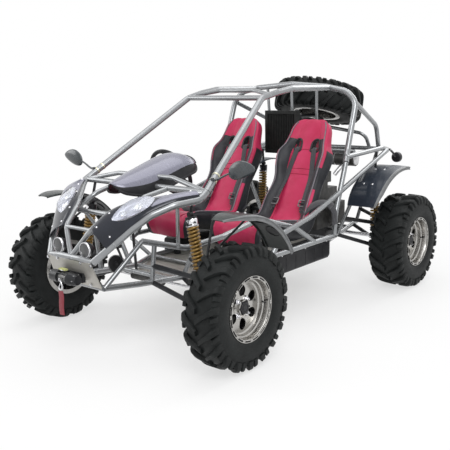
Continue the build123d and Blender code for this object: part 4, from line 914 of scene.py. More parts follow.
def fittings_shape(half, bore):
    """Hub cap, wheel nuts, valve and the black drum behind the windows."""
    disc = half * DISC_SHARE
    shape = Shape()
    shape.lathe([(disc + 5 * MM, 0.0), (disc + 5 * MM, 33 * MM), (disc + 26 * MM, 33 * MM),
                 (disc + 32 * MM, 29 * MM), (disc + 34 * MM, 20 * MM), (disc + 31 * MM, 16 * MM),
                 (disc + 31 * MM, 0.0)], 48)
    for angle in turns(CAP_LUGS):
        place = polar(disc + 20 * MM, CAP_RADIUS, angle)
        shape.box(place, (24 * MM, 9 * MM, 9 * MM), 0, Matrix.Rotation(-angle, 3, "X"))
    for index in range(NUT_COUNT):
        angle = (index + 0.5) * 2 * math.pi / NUT_COUNT
        place = polar(disc + 10 * MM, NUT_PLACE, angle)
        shape.bolt(place, ACROSS, 9 * MM, 14 * MM, 1)
        shape.lathe("wheel_stud", 12, 1, place=Matrix.Translation(place))
    root = Vector((half * 0.55, 0, bore - 16 * MM))
    shape.tube([root, root + mm(14, 0, -6), root + mm(34, 0, -12)], [4.5 * MM, 3.6 * MM, 3.6 * MM], 12)
    shape.lathe([(disc - 46 * MM, 0.0), (disc - 46 * MM, 60 * MM), (disc - 40 * MM, bore - 20 * MM),
                 (disc - 22 * MM, bore - 20 * MM), (disc - 26 * MM, 96 * MM), (disc - 20 * MM, 60 * MM),
                 (disc - 6 * MM, 33 * MM), (disc - 6 * MM, 0.0)], 64)
    return shape


def wheels():
    """Five tyres and wheels from two widths."""
    made = {}
    for corner in ("front_left", "front_right", "rear_left", "rear_right", "spare"):
        tyre_node, rim_node = "tyre_" + corner, "rim_" + corner
        place = wheel_place(tyre_node)
        local = place.inverted()
        sizes = []
        for node in (tyre_node, rim_node):
            points = node_points(node, local)
            reach = np.hypot(points[:, 1], points[:, 2])
            sizes.append((abs(points[:, 0]).max(), reach.max(), reach.min()))
        (half, radius, bore), (rim_half, lip, _) = sizes
        radius = min(radius, AXLE_HEIGHT)
        key = round(half, 3)
        if key not in made:
            rubber = make(tyre_shape(half, radius, bore), "tyre_form", ["tyre_rubber"])
            rim = make(wheel_shape(rim_half, lip, bore), "rim_form",
                       ["polished_alloy", "black_steel", "black_plastic"])
            disc = cut(make(disc_shape(rim_half, bore), "disc_form", ["polished_alloy"]),
                       window_cutter(rim_half))
            bevelled(disc, 1.2 * MM, 2, 40)
            cap = make(fittings_shape(rim_half, bore), "cap_form",
                       ["black_plastic", "bright_steel", "brushed_alloy"])
            made[key] = [piece.data for piece in (rubber, rim, disc, cap)]
            for piece in (rubber, rim, disc, cap):
                bpy.data.objects.remove(piece)
        body = "chassis" if corner == "spare" else "wheel_" + corner
        names = ("tyre_piece_", "wheel_barrel_", "wheel_disc_", "wheel_fittings_")
        rows = zip(names, made[key], ("tyre_rubber", "polished_alloy", "polished_alloy", "black_plastic"),
                   (tyre_node, rim_node, None, None))
        for name, mesh, slot, node in rows:
            carried(linked(name + corner, mesh, place), body, slot, *([node] if node else []))


def camera():
    """The photograph's view."""
    forward = Vector((math.cos(CAMERA_PITCH) * math.sin(CAMERA_TURN),
                      math.cos(CAMERA_PITCH) * math.cos(CAMERA_TURN), math.sin(CAMERA_PITCH)))
    right = Vector((math.cos(CAMERA_TURN), -math.sin(CAMERA_TURN), 0))
    over = right.cross(forward)
    side = right * math.cos(CAMERA_ROLL) + over * math.sin(CAMERA_ROLL)
    top = over * math.cos(CAMERA_ROLL) - right * math.sin(CAMERA_ROLL)
    data = bpy.data.cameras.new("camera")
    data.sensor_width = SENSOR_WIDTH
    data.lens = FOCAL_SHARE * SENSOR_WIDTH
    turn = Matrix((side, top, -forward)).transposed().to_4x4()
    bpy.context.scene.camera = linked("camera", data, Matrix.Translation(CAMERA_PLACE) @ turn)


def seen_ray(tree):
    """One for rays that show the background: from the camera, in gloss and through glass."""
    path = tree.nodes.new("ShaderNodeLightPath")
    total = path.outputs["Is Camera Ray"]
    for name in ("Is Glossy Ray", "Is Transmission Ray"):
        most = tree.nodes.new("ShaderNodeMath")
        most.operation = "MAXIMUM"
        tree.links.new(total, most.inputs[0])
        tree.links.new(path.outputs[name], most.inputs[1])
        total = most.outputs[0]
    return total


def lights():
    """Soft studio light and a white surround."""
    bpy.context.scene.view_settings.view_transform = "Standard"
    for name, place, size, power in LAMPS:
        data = bpy.data.lights.new(name, "AREA")
        data.shape = "RECTANGLE"
        data.size, data.size_y = size
        data.energy = power
        turn = (LIGHT_TARGET - Vector(place)).to_track_quat("-Z", "Y").to_matrix().to_4x4()
        linked(name, data, Matrix.Translation(place) @ turn)
    world = bpy.data.worlds.new("surround")
    bpy.context.scene.world = world
    world.use_nodes = True
    tree = world.node_tree
    background = tree.nodes["Background"]
    background.inputs["Color"].default_value = (1, 1, 1, 1)
    strength = tree.nodes.new("ShaderNodeMapRange")
    strength.inputs["To Min"].default_value = WORLD_LEVEL
    strength.inputs["To Max"].default_value = 1.0
    tree.links.new(seen_ray(tree), strength.inputs["Value"])
    tree.links.new(strength.outputs["Result"], background.inputs["Strength"])


def floor():
    """Pale round floor that glows away into the surround."""
    nodes = Nodes("floor")
    nodes.set(base_color=FLOOR_COLOUR, roughness=0.9, specular_ior_level=0.0)
    fade = nodes.new("ShaderNodeTexGradient", gradient_type="SPHERICAL")
    nodes.link(nodes.stretched((1 / FLOOR_FADE,) * 3), fade.inputs["Vector"])
    seen = nodes.new("ShaderNodeMath", operation="MULTIPLY")
    nodes.link(nodes.span(fade.outputs["Fac"], 1.0, FLOOR_GLOW, 0.0, 1.0), seen.inputs[0])
    nodes.link(seen_ray(nodes.tree), seen.inputs[1])
    mix = nodes.new("ShaderNodeMixShader")
    nodes.link(seen.outputs[0], mix.inputs["Fac"])
    nodes.link(nodes.surface.outputs[0], mix.inputs[1])
    nodes.link(nodes.new("ShaderNodeEmission").outputs[0], mix.inputs[2])
    nodes.link(mix.outputs[0], nodes.tree.nodes["Material Output"].inputs["Surface"])
    PAINTS["floor"] = nodes.material
    shape = Shape().rings([[Vector((FLOOR_REACH * math.cos(turn), FLOOR_REACH * math.sin(turn), z))
                            for turn in turns(64)] for z in (-20 * MM, -0.5 * MM)])
    make(shape, "floor", ["floor"])


def skin(rows, thickness, normals, slot=0):
    """Shell over a grid of points, with its outer face on them."""
    shape = Shape()
    inner = [[point - normal * thickness for point, normal in zip(row, row_normals)]
             for row, row_normals in zip(rows, normals)]
    rings = []
    for outer_row, inner_row in zip(rows, inner):
        rings.append(list(outer_row) + inner_row[::-1])
    return shape.rings(rings, slot)


def upward_normals(rows, column):
    """Unit normals of a grid of points, looking up at the middle row's given column."""
    result = []
    for i, row in enumerate(rows):
        normals = []
        for j in range(len(row)):
            along = rows[min(i + 1, len(rows) - 1)][j] - rows[max(i - 1, 0)][j]
            across = row[min(j + 1, len(row) - 1)] - row[max(j - 1, 0)]
            normals.append(across.cross(along).normalized())
        result.append(normals)
    if result[len(rows) // 2][column].z < 0:
        result = [[-normal for normal in row] for row in result]
    return result


def fairing_rows():
    """Grid over the left fairing: rows from nose to pillar, points from the inner rail to the outer."""
    shift = Vector((0, BASE_SHIFT, 0))
    inner = smooth([Vector(point) + shift for point in FAIRING_INNER], FAIRING_ROWS)
    outer = smooth([Vector(point) + shift for point in FAIRING_OUTER], FAIRING_ROWS)
    rows = []
    for index, (near, far) in enumerate(zip(inner, outer)):
        after, before = min(index + 1, FAIRING_ROWS - 1), max(index - 1, 0)
        ahead = inner[after] + outer[after] - inner[before] - outer[before]
        normal = (far - near).cross(ahead).normalized()
        if normal.z < 0:
            normal = -normal
        low_in = near + normal * (FAIRING_LIFTS[0] + FAIRING_RISE)
        low_out = far + normal * (FAIRING_LIFTS[1] + FAIRING_RISE)
        row = []
        for step in range(FAIRING_COLUMNS):
            share = step / (FAIRING_COLUMNS - 1)
            bulge = 1 - (2 * share - 1) ** 2
            edge = -6 * MM * (2 * share - 1) ** 8
            row.append(low_in.lerp(low_out, share) + normal * (FAIRING_CROWN * bulge + edge))
        rows.append(row)
    return rows


def fairings():
    """Nose panels with a cut lens opening, lamp bowls, glass and screws."""
    rows = fairing_rows()
    normals = upward_normals(rows, FAIRING_MIDDLE)
    shape = skin(rows, 4 * MM, normals)
    count = 2 * len(rows[0])
    for index, face in enumerate(shape.faces):
        row, column = divmod(min(face), count)
        if (len(face) == 4 and row >= FAIRING_PANEL_ROW - abs(column - PANEL_MIDDLE)
            and 0 < column < 2 * PANEL_MIDDLE):
            shape.slots[index] = 1
    panel = make(shape, "fairing_left", ["dark_gloss", "cowl_silver"], 50)
    middle = rows[FAIRING_LENS_ROW][FAIRING_MIDDLE]
    normal = normals[FAIRING_LENS_ROW][FAIRING_MIDDLE]
    along = (rows[FAIRING_LENS_ROW + FAIRING_MIDDLE][FAIRING_MIDDLE]
             - rows[FAIRING_LENS_ROW - FAIRING_MIDDLE][FAIRING_MIDDLE]).normalized()
    side = normal.cross(along).normalized()
    along = side.cross(normal)

    def almond(length, width, count=48):
        points = []
        for turn in turns(count):
            reach = math.cos(turn)
            points.append((reach * length / 2, math.copysign(abs(math.sin(turn)) ** 1.25,
                                                             math.sin(turn)) * width / 2 * (1
                                                                                            + 0.12 * reach)))
        return points

    def on_lens(u, v, rise):
        return middle + along * u + side * v + normal * rise

    cutter = Shape().rings([[on_lens(u, v, lift) for u, v in almond(*LENS_SIZE)]
                            for lift in (-60 * MM, 40 * MM)])
    cut(panel, make(cutter, "cutter", []))
    bevelled(panel, 1.2 * MM, 2, 40)
    other = mirror_copy(panel, "fairing_right")
    carried(panel, "chassis", "dark_gloss", "headlamp_housings")
    carried(other, "chassis", "dark_gloss")
    lamp = Shape()
    rings = []
    for depth, share in BOWL_RINGS:
        rings.append([on_lens(u, v, depth - drop_at(rows, normals, middle, along, u))
                      for u, v in almond(LENS_SIZE[0] * share, LENS_SIZE[1] * share)])
    lamp.rings(rings, caps=False)
    count = len(rings[-1])
    lamp.add(rings[-1], [tuple(range(count))])
    for place_along, radius in BULBS:
        bulb_at = middle + along * (place_along * LENS_SIZE[0]) - normal * 25 * MM
        turn = facing(normal, bulb_at)
        lamp.lathe([(0, 0.0), (0, radius * 0.45), (8 * MM, radius * 0.9), (14 * MM, radius),
                    (15 * MM, radius * 0.95), (9 * MM, radius * 0.8), (2 * MM, radius * 0.4),
                    (2 * MM, 0.0)], 32, 1, place=turn)
        lamp.lathe("bulb", 16, 2, place=turn)
    bowls = make(on_both_sides(lamp), "headlamp_bowls", ["lens_silver", "chrome", "lamp_glass"], 40,
                 outward=False)
    carried(bowls, "chassis", "bright_steel")
    glass = Shape()
    faces = [[], []]
    for layer, lift in enumerate((1.0 * MM, -1.5 * MM)):
        for share in LENS_SHARES:
            crown = 5 * MM * (1 - share ** 2)
            faces[layer].append([on_lens(u, v, lift + crown - drop_at(rows, normals, middle, along, u))
                                 for u, v in almond(LENS_SIZE[0] * share, LENS_SIZE[1] * share)])
    glass.rings(faces[0][::-1] + faces[1])
    cover = make(on_both_sides(glass), "headlamp_glass", ["lamp_glass"], 40)
    carried(cover, "chassis", "lamp_glass", "headlamp_lenses")
    screws = Shape()
    for row, column in FAIRING_SCREWS:
        place, out = rows[row][column], normals[row][column]
        turn = facing(out, place - out * 1 * MM)
        screws.lathe("fairing_screw", 20, place=turn)
    put(on_both_sides(screws), "fairing_screws", ["chrome"], "chassis", "bright_steel")


def drop_at(rows, normals, middle, along, reach):
    """How far the fairing's surface lies under the flat plane of the lens, at a length from its middle."""
    best = min((row[FAIRING_MIDDLE] for row in rows), key=lambda point: abs((point - middle).dot(along)
                                                                            - reach))
    return (middle - best).dot(normals[FAIRING_LENS_ROW][FAIRING_MIDDLE])


def cowl():
    """Tongue-shaped cowl with black flanks and trim, and the dial pod behind it."""
    sections = [Vector((half, along + BASE_SHIFT, low)) for along, half, low, crown in COWL_SECTIONS]
    crowns = [Vector((0, along + BASE_SHIFT, crown)) for along, half, low, crown in COWL_SECTIONS]
    edges = smooth(sections, COWL_ROWS)
    tops = smooth(crowns, COWL_ROWS)
    rows = []
    length = tops[-1].y - tops[0].y
    for edge, top in zip(edges, tops):
        share = (top.y - tops[0].y) / length
        nose, tail = (math.sqrt(max(0.0, 1 - (1 - min(part / end, 1)) ** 2))
                      for part, end in zip((share, 1 - share), COWL_ENDS))
        half = max(edge.x * nose * (0.45 + 0.55 * tail), 4 * MM)
        low = top.z + (edge.z - top.z) * max(half / edge.x, 0.1)
        row = []
        for step in range(COWL_COLUMNS):
            turn = math.pi * step / (COWL_COLUMNS - 1)
            across = -math.cos(turn)
            rise = math.sin(turn) ** 0.8
            row.append(Vector((half * across, top.y, low + (top.z - low) * rise)))
        rows.append(row)
    normals = upward_normals(rows, COWL_COLUMNS // 2)
    shape = skin(rows, 4 * MM, normals)
    for index, face in enumerate(shape.faces):
        column = min(face) % (2 * COWL_COLUMNS)
        if len(face) > 4 or not COWL_SILVER[0] <= column < COWL_SILVER[1]:
            shape.slots[index] = 1
    panel = make(shape, "cowl_piece", ["cowl_silver", "black_plastic"], 50)
    carried(panel, "chassis", "cowl_silver", "cowl")
    trim = Shape()
    for column in (0, COWL_COLUMNS - 1):
        path = [row[column] - normal_row[column] * 1 * MM for row, normal_row in zip(rows, normals)]
        trim.tube(path[2:-1], 8 * MM, 10)
    back = rows[-3]
    trim.tube(back[2:-2], 6 * MM, 10)
    put(trim, "cowl_trim", ["black_plastic"], "chassis", "black_plastic")
    pod = Shape()
    middle = rows[DASH_ROW][COWL_COLUMNS // 2]
    rings = []
    for step in range(15):
        turn = math.pi * step / 14
        reach = math.sin(turn) ** 0.5
        y = middle.y - 10 * MM - 75 * MM * math.cos(turn)
        centre = Vector((0, y, middle.z - 62 * MM))
        rings.append([centre + Vector((DASH_HALVES[0] * reach * math.cos(a), 0,
                                       DASH_HALVES[1] * reach * math.sin(a))) for a in turns(28)])
    pod.rings(rings)
    for x in (-34 * MM, 34 * MM):
        face = facing(Vector((0, 0.92, 0.40)), middle + Vector((x, 52 * MM, -50 * MM)))
        pod.lathe("dial", 36, 1, place=face)
    put(pod, "dash_pod", ["black_plastic", "trim_grey"], "chassis", "black_plastic")


def fender_rows(reach, start, end, inner, outer, along, count, flange, taper, growth=0.0):
    """Grid over a fender: rows round the axle, points from its inner edge over to its outer flange."""
    section = [(0.0, -flange * 0.45), (0.006, -flange * 0.12), (0.03, -1.2 * MM)]
    section += [(0.03 + 0.91 * step / 10, 2 * MM * math.sin(math.pi * step / 10) - 1.2 * MM)
                for step in range(1, 11)]
    section += [(0.975, -3 * MM), (0.996, -8 * MM), (1.0, -flange)]
    rows = []
    for step in range(count):
        share = step / (count - 1)
        turn = math.radians(start + (end - start) * share)
        narrow = 1 - taper * (1 - min(share / FENDER_TIP_SHARE, 1)) ** 2
        row = []
        for across, rise in section:
            x = inner + (outer - inner) * (0.5 + (across - 0.5) * narrow)
            drop = rise if across < 0.97 else rise * min(1, 0.1 + share / 0.25)
            size = reach + drop + growth * share
            row.append(Vector((x, along + size * math.sin(turn), AXLE_HEIGHT + size * math.cos(turn))))
        rows.append(row)
    return rows


def fender_pieces(rows, name, body, nodes, slot, strip, both):
    """A fender's shell with a grey flange, its rolled edges and its bolts."""
    normals = upward_normals(rows, FENDER_MIDDLE)
    shape = skin(rows, 4 * MM, normals)
    width = len(rows[0])
    for index, face in enumerate(shape.faces):
        column = min(face) % (2 * width)
        if len(face) == 4 and width - 4 <= column < width - 1:
            shape.slots[index] = 1
    edge = Shape()
    edge.tube([row[-1] for row in rows], strip, 10)
    edge.tube([row[-2] for row in rows], strip, 10)
    bolts = Shape()
    for index in (len(rows) // 3, 2 * len(rows) // 3):
        for column in (5, width - 8):
            bolts.bolt(rows[index][column] - normals[index][column] * 0.5 * MM, normals[index][column],
                       6 * MM, 5 * MM)
    pieces = []
    for part, label, paint in ((shape, "_shell", slot), (edge, "_edge", "trim_grey"),
                               (bolts, "_bolts", "chrome")):
        if both:
            on_both_sides(part)
        pieces.append(make(part, name + label, [paint, "trim_grey"], 50))
    for index, piece in enumerate(pieces):
        carried(piece, body, "dark_plastic" if index < 2 else "bright_steel",
                *(nodes if index == 0 else ()))


def front_fenders():
    """Fenders that steer with the front wheels, on forked stays."""
    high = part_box("front_fender_left")[1]
    rows = fender_rows(FENDER_REACH, *FENDER_TURNS, high.x - FENDER_WIDTH, high.x, FRONT_AXLE,
                       FENDER_ROWS, FENDER_FLANGE, FENDER_TAPERS[0])
    for side in ("left", "right"):
        sign = 1 if side == "left" else -1
        placed = [[Vector((point.x * sign, point.y, point.z)) for point in row] for row in rows]
        body = "knuckle_" + side
        fender_pieces(placed, "front_fender_" + side, body, (), "fender_dark", 4.5 * MM, False)
        under = Shape()
        # Black disc of painted shade: it stands for the dark of a round recess in the fender's underside
        place = placed[RECESS_SHADE_ROW][8]
        inward = -(place - Vector((place.x, FRONT_AXLE, AXLE_HEIGHT))).normalized()
        turn = facing(inward, place + inward * 3 * MM)
        under.lathe("recess_shade_disc", 40, place=turn)
        for row in FENDER_BEAM_ROWS:
            path = [point - (point - Vector((point.x, FRONT_AXLE, AXLE_HEIGHT))).normalized() * 6 * MM
                    for point in placed[row][3:-3]]
            under.tube(path, 4.5 * MM, 8)
        put(under, "fender_underside_" + side, ["black_plastic"], body, "black_plastic")
        stay_x = sign * FENDER_STAY_X
        stay = Shape()
        fork = Vector((stay_x, FRONT_AXLE - 0.090, AXLE_HEIGHT + 0.240))
        root = Vector((stay_x, FRONT_AXLE, AXLE_HEIGHT + 0.010))
        foot = Vector((stay_x, FRONT_AXLE - 0.090, AXLE_HEIGHT + 0.010))
        tips = []
        for degrees in STAY_TURNS:
            angle = math.radians(degrees)
            reach = FENDER_REACH - 7 * MM
            tips.append(Vector((stay_x, FRONT_AXLE + reach * math.sin(angle),
                                AXLE_HEIGHT + reach * math.cos(angle))))
        bend = foot + Vector((0, 0, 0.02))
        stay.tube(smooth([root, foot + Vector((0, 0.02, 0)), bend, fork], 24), STAY_RADIUS, 12)
        for tip in tips:
            stay.tube([fork, fork.lerp(tip, 0.5), tip, tip + mm(sign * 60, 0, 1)], STAY_RADIUS, 12)
        stay.lathe("fork_clamp", 24, place=Matrix.Translation(fork))
        for point in (root, foot):
            stay.lathe("stay_end", 24, place=Matrix.Translation(point))
        stay.tube([root, root + mm(-sign * 22, 0, 0)], 12 * MM, 16)
        put(stay, "fender_stay_" + side, ["black_steel"], body, "black_steel", "front_fender_" + side)


def rear_fenders():
    """Panels ahead of and over the rear wheels."""
    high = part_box("rear_fenders")[1]
    rows = fender_rows(REAR_FENDER_REACH, *REAR_FENDER_TURNS, high.x - REAR_FENDER_WIDTH, high.x,
                       REAR_AXLE, REAR_FENDER_ROWS, REAR_FENDER_FLANGE, FENDER_TAPERS[1],
                       REAR_FENDER_GROWTH)
    fender_pieces(rows, "rear_fender", "chassis", ("rear_fenders",), "fender_blue", 3 * MM, True)


def seat_line():
    """The seat's middle line with its half-width, bolster height and normal, row by row."""
    low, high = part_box("seat_left")
    points = []
    for along, up, half, bolster in SEAT_LINE_SHARES:
        points.append((low.y + (high.y - low.y) * along, low.z + (high.z - low.z) * up, half, bolster))
    place, extra = (smooth([Vector((point[axis], point[axis + 1], 0)) for point in points], SEAT_STEPS)
                    for axis in (0, 2))
    rows = spread([Vector((a.x, a.y, b.x, b.y)) for a, b in zip(place, extra)], SEAT_ROWS)
    fine = []
    for index, row in enumerate(rows):
        ahead = rows[min(index + 1, SEAT_ROWS - 1)] - rows[max(index - 1, 0)]
        normal = Vector((0, -ahead[1], ahead[0])).normalized()
        fine.append((Vector((0, row[0], row[1])), normal, row[2], row[3]))
    return fine


def seat_rings():
    """Closed rings round the seat, and the section they follow."""
    half_section = [(0.0, -1.0, 0), (0.45, -1.0, 0), (0.80, -0.92, 0), (0.985, -0.55, 0),
                    (1.0, 0.0, 0.30), (0.97, 0.0, 0.80), (0.87, 0.0, 1.0), (0.74, 0.0, 0.86),
                    (0.60, 0.0, 0.22), (0.52, 0.0, 0.0), (0.40, 0.03, 0.02), (0.20, 0.075, 0.05),
                    (0.0, 0.09, 0.06)]
    full = half_section + [(-x, back, lift) for x, back, lift in half_section[-2:0:-1]]
    loop = smooth([Vector(point) for point in full + [full[0]]], SEAT_COLUMNS + 1)[:-1]
    rings = []
    for place, normal, half, bolster in seat_line():
        ring = []
        for across, back, lift in loop:
            height = BOLSTER_HEIGHT * bolster * lift + SEAT_DEPTH * back * (0.55 + 0.45 * min(half, 1))
            ring.append(place + normal * height + ACROSS * (across * half * SEAT_HALF))
        rings.append(ring)
    return rings, loop


def seat_slot(row_share, across):
    """Which cover lies on a place of the seat: 0 for red, 1 for black."""
    side = abs(across[0])
    upper = UPPER_SHARES[0] < row_share < UPPER_SHARES[1]
    flank = across[1] < -0.02 and across[2] <= 0.30 or side > SIDE_SHARE
    if across[1] < -0.60 or flank and not upper:
        return 1
    if row_share > HEAD_SHARE or side < PANEL_SHARE:
        return 0
    if side >= BOLSTER_SHARE:
        return 0 if any(low < row_share < high for low, high in (SHOULDER_SHARES, HIP_SHARES)) else 1
    return 1 if row_share > FRONT_SHARE else 0


def seats():
    """Two bucket seats: padded covers swelled between their seams, then piping, slots and belts."""
    rings, loop = seat_rings()
    shape = Shape()
    count = len(loop)
    faces = grid_faces(SEAT_ROWS, count, False, True)
    shape.add([point for ring in rings for point in ring], faces)
    for row in (0, SEAT_ROWS - 1):
        shape.add([], [])
        shape.faces.append(tuple(row * count + column for column in range(count)))
        shape.slots.append(1)
    for index, face in enumerate(faces):
        row, column = divmod(face[0], count)
        shape.slots[index] = seat_slot((row + 0.5) / SEAT_ROWS, loop[column])
    seat = make(shape, "seat_cover_left", ["seat_red", "seat_black"], 60)
    columns = {}
    for name, wanted in COLUMN_SHARES:
        columns[name] = [min(range(count), key=lambda j: abs(loop[j][0] - sign * wanted)
                             + (0 if loop[j][1] > -0.02 else 9) + (0 if name != "side" or loop[j][2] > 0.5
                                                                   else 9)) for sign in (-1, 1)]
    seams = set(columns["ridge"] + columns["valley"])
    swell(seat, count, seams)
    rows = [[seat.data.vertices[row * count + column].co.copy() for column in range(count)]
            for row in range(SEAT_ROWS)]
    divide = seat.modifiers.new("round", "SUBSURF")
    divide.levels = 1
    divide.render_levels = 1
    applied(seat)
    tree = BVHTree.FromObject(seat, bpy.context.evaluated_depsgraph_get())
    cutter = Shape()
    rims = Shape()
    for sign in (-1, 1):
        outline = smooth([mm(sign * x, 0, z) for x, z in SLOT_OUTLINE + SLOT_OUTLINE[:1]], 40)[:-1]
        cutter.rings([[Vector((point.x, y, point.z)) for point in outline] for y in (0.15, 0.70)])
        front = [surface_at(tree, point.x, point.z) for point in outline]
        wide = [point + mm(0, 4, 0) for point in front]
        rims.tube(wide, 8 * MM, 10, closed=True)
        middle = sum(front, Vector()) / len(front)
        rims.rings([[middle.lerp(point, 1.02) for point in front], [middle.lerp(point, 0.99) + mm(0, 50,
                                                                                                  0)
                                                                    for point in front],
                    [middle.lerp(point, 0.90) + mm(0, 50, 0) for point in front],
                    [middle.lerp(point, 0.94) for point in front]], closed=True)
    cut(seat, make(cutter, "cutter", []))
    seat.data.shade_smooth()
    seat.data.set_sharp_from_angle(angle=math.radians(50))
    piping = Shape()
    for column in columns["ridge"]:
        piping.tube([rows[row][column] + lift_of(rows, row, column) * 1.5 * MM
                     for row in range(14, SEAT_ROWS - 8)], 4 * MM, 8)
    for column in columns["valley"]:
        piping.tube([rows[row][column] + lift_of(rows, row, column) * 1.0 * MM for row in range(10, 80)],
                    3 * MM, 8, 1)
    for row in SEAM_ROWS:
        line = [rows[row][column] for column in range(min(columns["valley"]), max(columns["valley"]) + 1)]
        piping.tube([point + lift_of(rows, row, 36) * -0.3 * MM for point in line], 2.2 * MM, 8, 1)
    belts = belt_shape(tree)
    hardware = buckle_shape(tree)
    seat.location.x = SEAT_CENTRE
    for side, sign in (("left", 1), ("right", -1)):
        if side == "right":
            cover = mirror_copy(seat, "seat_cover_right")
            cover.location.x = -SEAT_CENTRE
        else:
            cover = seat
        carried(cover, "chassis", "seat_leather", "seat_" + side)
        for part, label, paint, slot, nodes in (
                (piping, "seat_piping_", ("piping_grey", "seam_red"), "seat_leather", ()),
                (rims, "seat_slots_", ("black_plastic",), "black_plastic", ()),
                (belts, "belt_straps_", ("belt_webbing",), "belt_webbing", ("harness_" + side,)),
                (hardware, "belt_buckles_", ("trim_grey", "black_plastic"), "bright_steel", ())):
            placed = Shape()
            placed.add([(sign * x + sign * SEAT_CENTRE, y, z) for x, y, z in part.points], part.faces)
            placed.slots = list(part.slots)
            put(placed, label + side, paint, "chassis", slot, *nodes, sharp=50)


def lift_of(rows, row, column):
    """Outward direction of the seat's surface at a row and column."""
    along = rows[min(row + 1, SEAT_ROWS - 1)][column] - rows[max(row - 1, 0)][column]
    across = rows[row][(column + 1) % SEAT_COLUMNS] - rows[row][column - 1]
    normal = along.cross(across).normalized()
    centre = sum(rows[row], Vector()) / len(rows[row])
    return normal if normal.dot(rows[row][column] - centre) > 0 else -normal


def surface_at(tree, x, z):
    """The seat's front surface at a place across and up, seen from the front."""
    hit = tree.ray_cast(Vector((x, -0.6, z)), ALONG)[0]
    return hit if hit else Vector((x, 0.30, z))


def swell(seat, count, seams):
    """Cloth pressure inside the cover with its seams held, capped and kept."""
    before = [vertex.co.copy() for vertex in seat.data.vertices]
    held = seat.vertex_groups.new(name="held")
    for index in range(len(before)):
        row, column = divmod(index, count)
        if column in seams or row in (0, 1, SEAT_ROWS - 1, SEAT_ROWS - 2) or row in SEAM_ROWS:
            held.add([index], 1.0, "REPLACE")
    cloth = seat.modifiers.new("cloth", "CLOTH")
    settings = cloth.settings
    settings.vertex_group_mass = "held"
    settings.pin_stiffness = 1.0
    settings.use_pressure = True
    settings.uniform_pressure_force = SEAT_PRESSURE
    settings.effector_weights.gravity = 0.0
    settings.quality = 4
    cloth.point_cache.frame_start = 1
    cloth.point_cache.frame_end = SIM_FRAMES
    scene = bpy.context.scene
    for step in range(1, SIM_FRAMES + 1):
        scene.frame_set(step)
    graph = bpy.context.evaluated_depsgraph_get()
    after = [vertex.co.copy() for vertex in seat.evaluated_get(graph).data.vertices]
    seat.modifiers.clear()
    scene.frame_set(1)
    for vertex, start, end in zip(seat.data.vertices, before, after):
        move = end - start
        if move.length > SEAT_CAP:
            move = move.normalized() * SEAT_CAP
        vertex.co = start + move
    seat.vertex_groups.clear()


def belt_line(tree, sign):
    """Places and normals along a shoulder belt, from its slot down to the hip."""
    points = []
    for x, z in BELT_PATH:
        point = surface_at(tree, sign * x * MM, z * MM)
        points.append(point)
    path = smooth(points, 40)
    path = [surface_at(tree, point.x, point.z) + mm(0, -3.5, 2) for point in path]
    start = path[0]
    lead = [start + mm(0, 46, 0), start + mm(0, 22, 8)]
    return lead + path


def belt_shape(tree):
    """Shoulder belts, lap belts and the pads over the side rails."""
    shape = Shape()
    for sign in (-1, 1):
        path = belt_line(tree, sign)
        shape.ribbon(path, Vector((0, -0.9, 0.4)), BELT_WIDTH, 2.4 * MM)
        hip = path[-1]
        lap = smooth([hip, hip + mm(sign * 32, 0, -30), hip + mm(sign * 58, 14, -46),
                      hip + mm(sign * 84, 60, -20)], 20)
        shape.ribbon(lap, Vector((0, -0.5, 0.85)), BELT_WIDTH, 2.4 * MM)
    outer = smooth([Vector(point) * MM for point in LAP_PAD_PATH], 28)
    shape.ribbon(outer, Vector((0.15, -0.35, 0.92)), 58 * MM, 9 * MM)
    tail = smooth([outer[-1], outer[-1] + mm(14, 6, -40), outer[-1] + mm(10, 14, -110)], 14)
    shape.ribbon(tail, Vector((0.95, -0.2, 0.1)), 44 * MM, 2.4 * MM)
    return shape


def buckle_shape(tree):
    """Adjuster frames on the shoulder belts and the latch at the lap."""
    shape = Shape()
    for sign in (-1, 1):
        path = belt_line(tree, sign)
        place = path[int(len(path) * BUCKLE_SHARE)]
        ahead = (path[int(len(path) * BUCKLE_SHARE) + 2] - place).normalized()
        normal = Vector((0, ahead.z, -ahead.y)).normalized()
        normal = normal if normal.y < 0 else -normal
        centre = place + normal * 8 * MM
        corners = []
        for u, v in ((-1, -1), (1, -1), (1, 1), (-1, 1)):
            corners.append(centre + ACROSS * (u * BUCKLE_HALVES[0]) + ahead * (v * BUCKLE_HALVES[1]))
        loop = []
        for index, corner in enumerate(corners):
            before, after = corners[index - 1], corners[(index + 1) % 4]
            loop += [corner.lerp(before, 0.18), corner.lerp(corner.lerp(before, 0.1), 0.5),
                     corner.lerp(after, 0.06), corner.lerp(after, 0.18)]
        shape.tube(loop, 3.6 * MM, 10, closed=True)
        shape.tube([centre - ACROSS * 27 * MM, centre + ACROSS * 27 * MM], 4 * MM, 10, 1)
    return shape


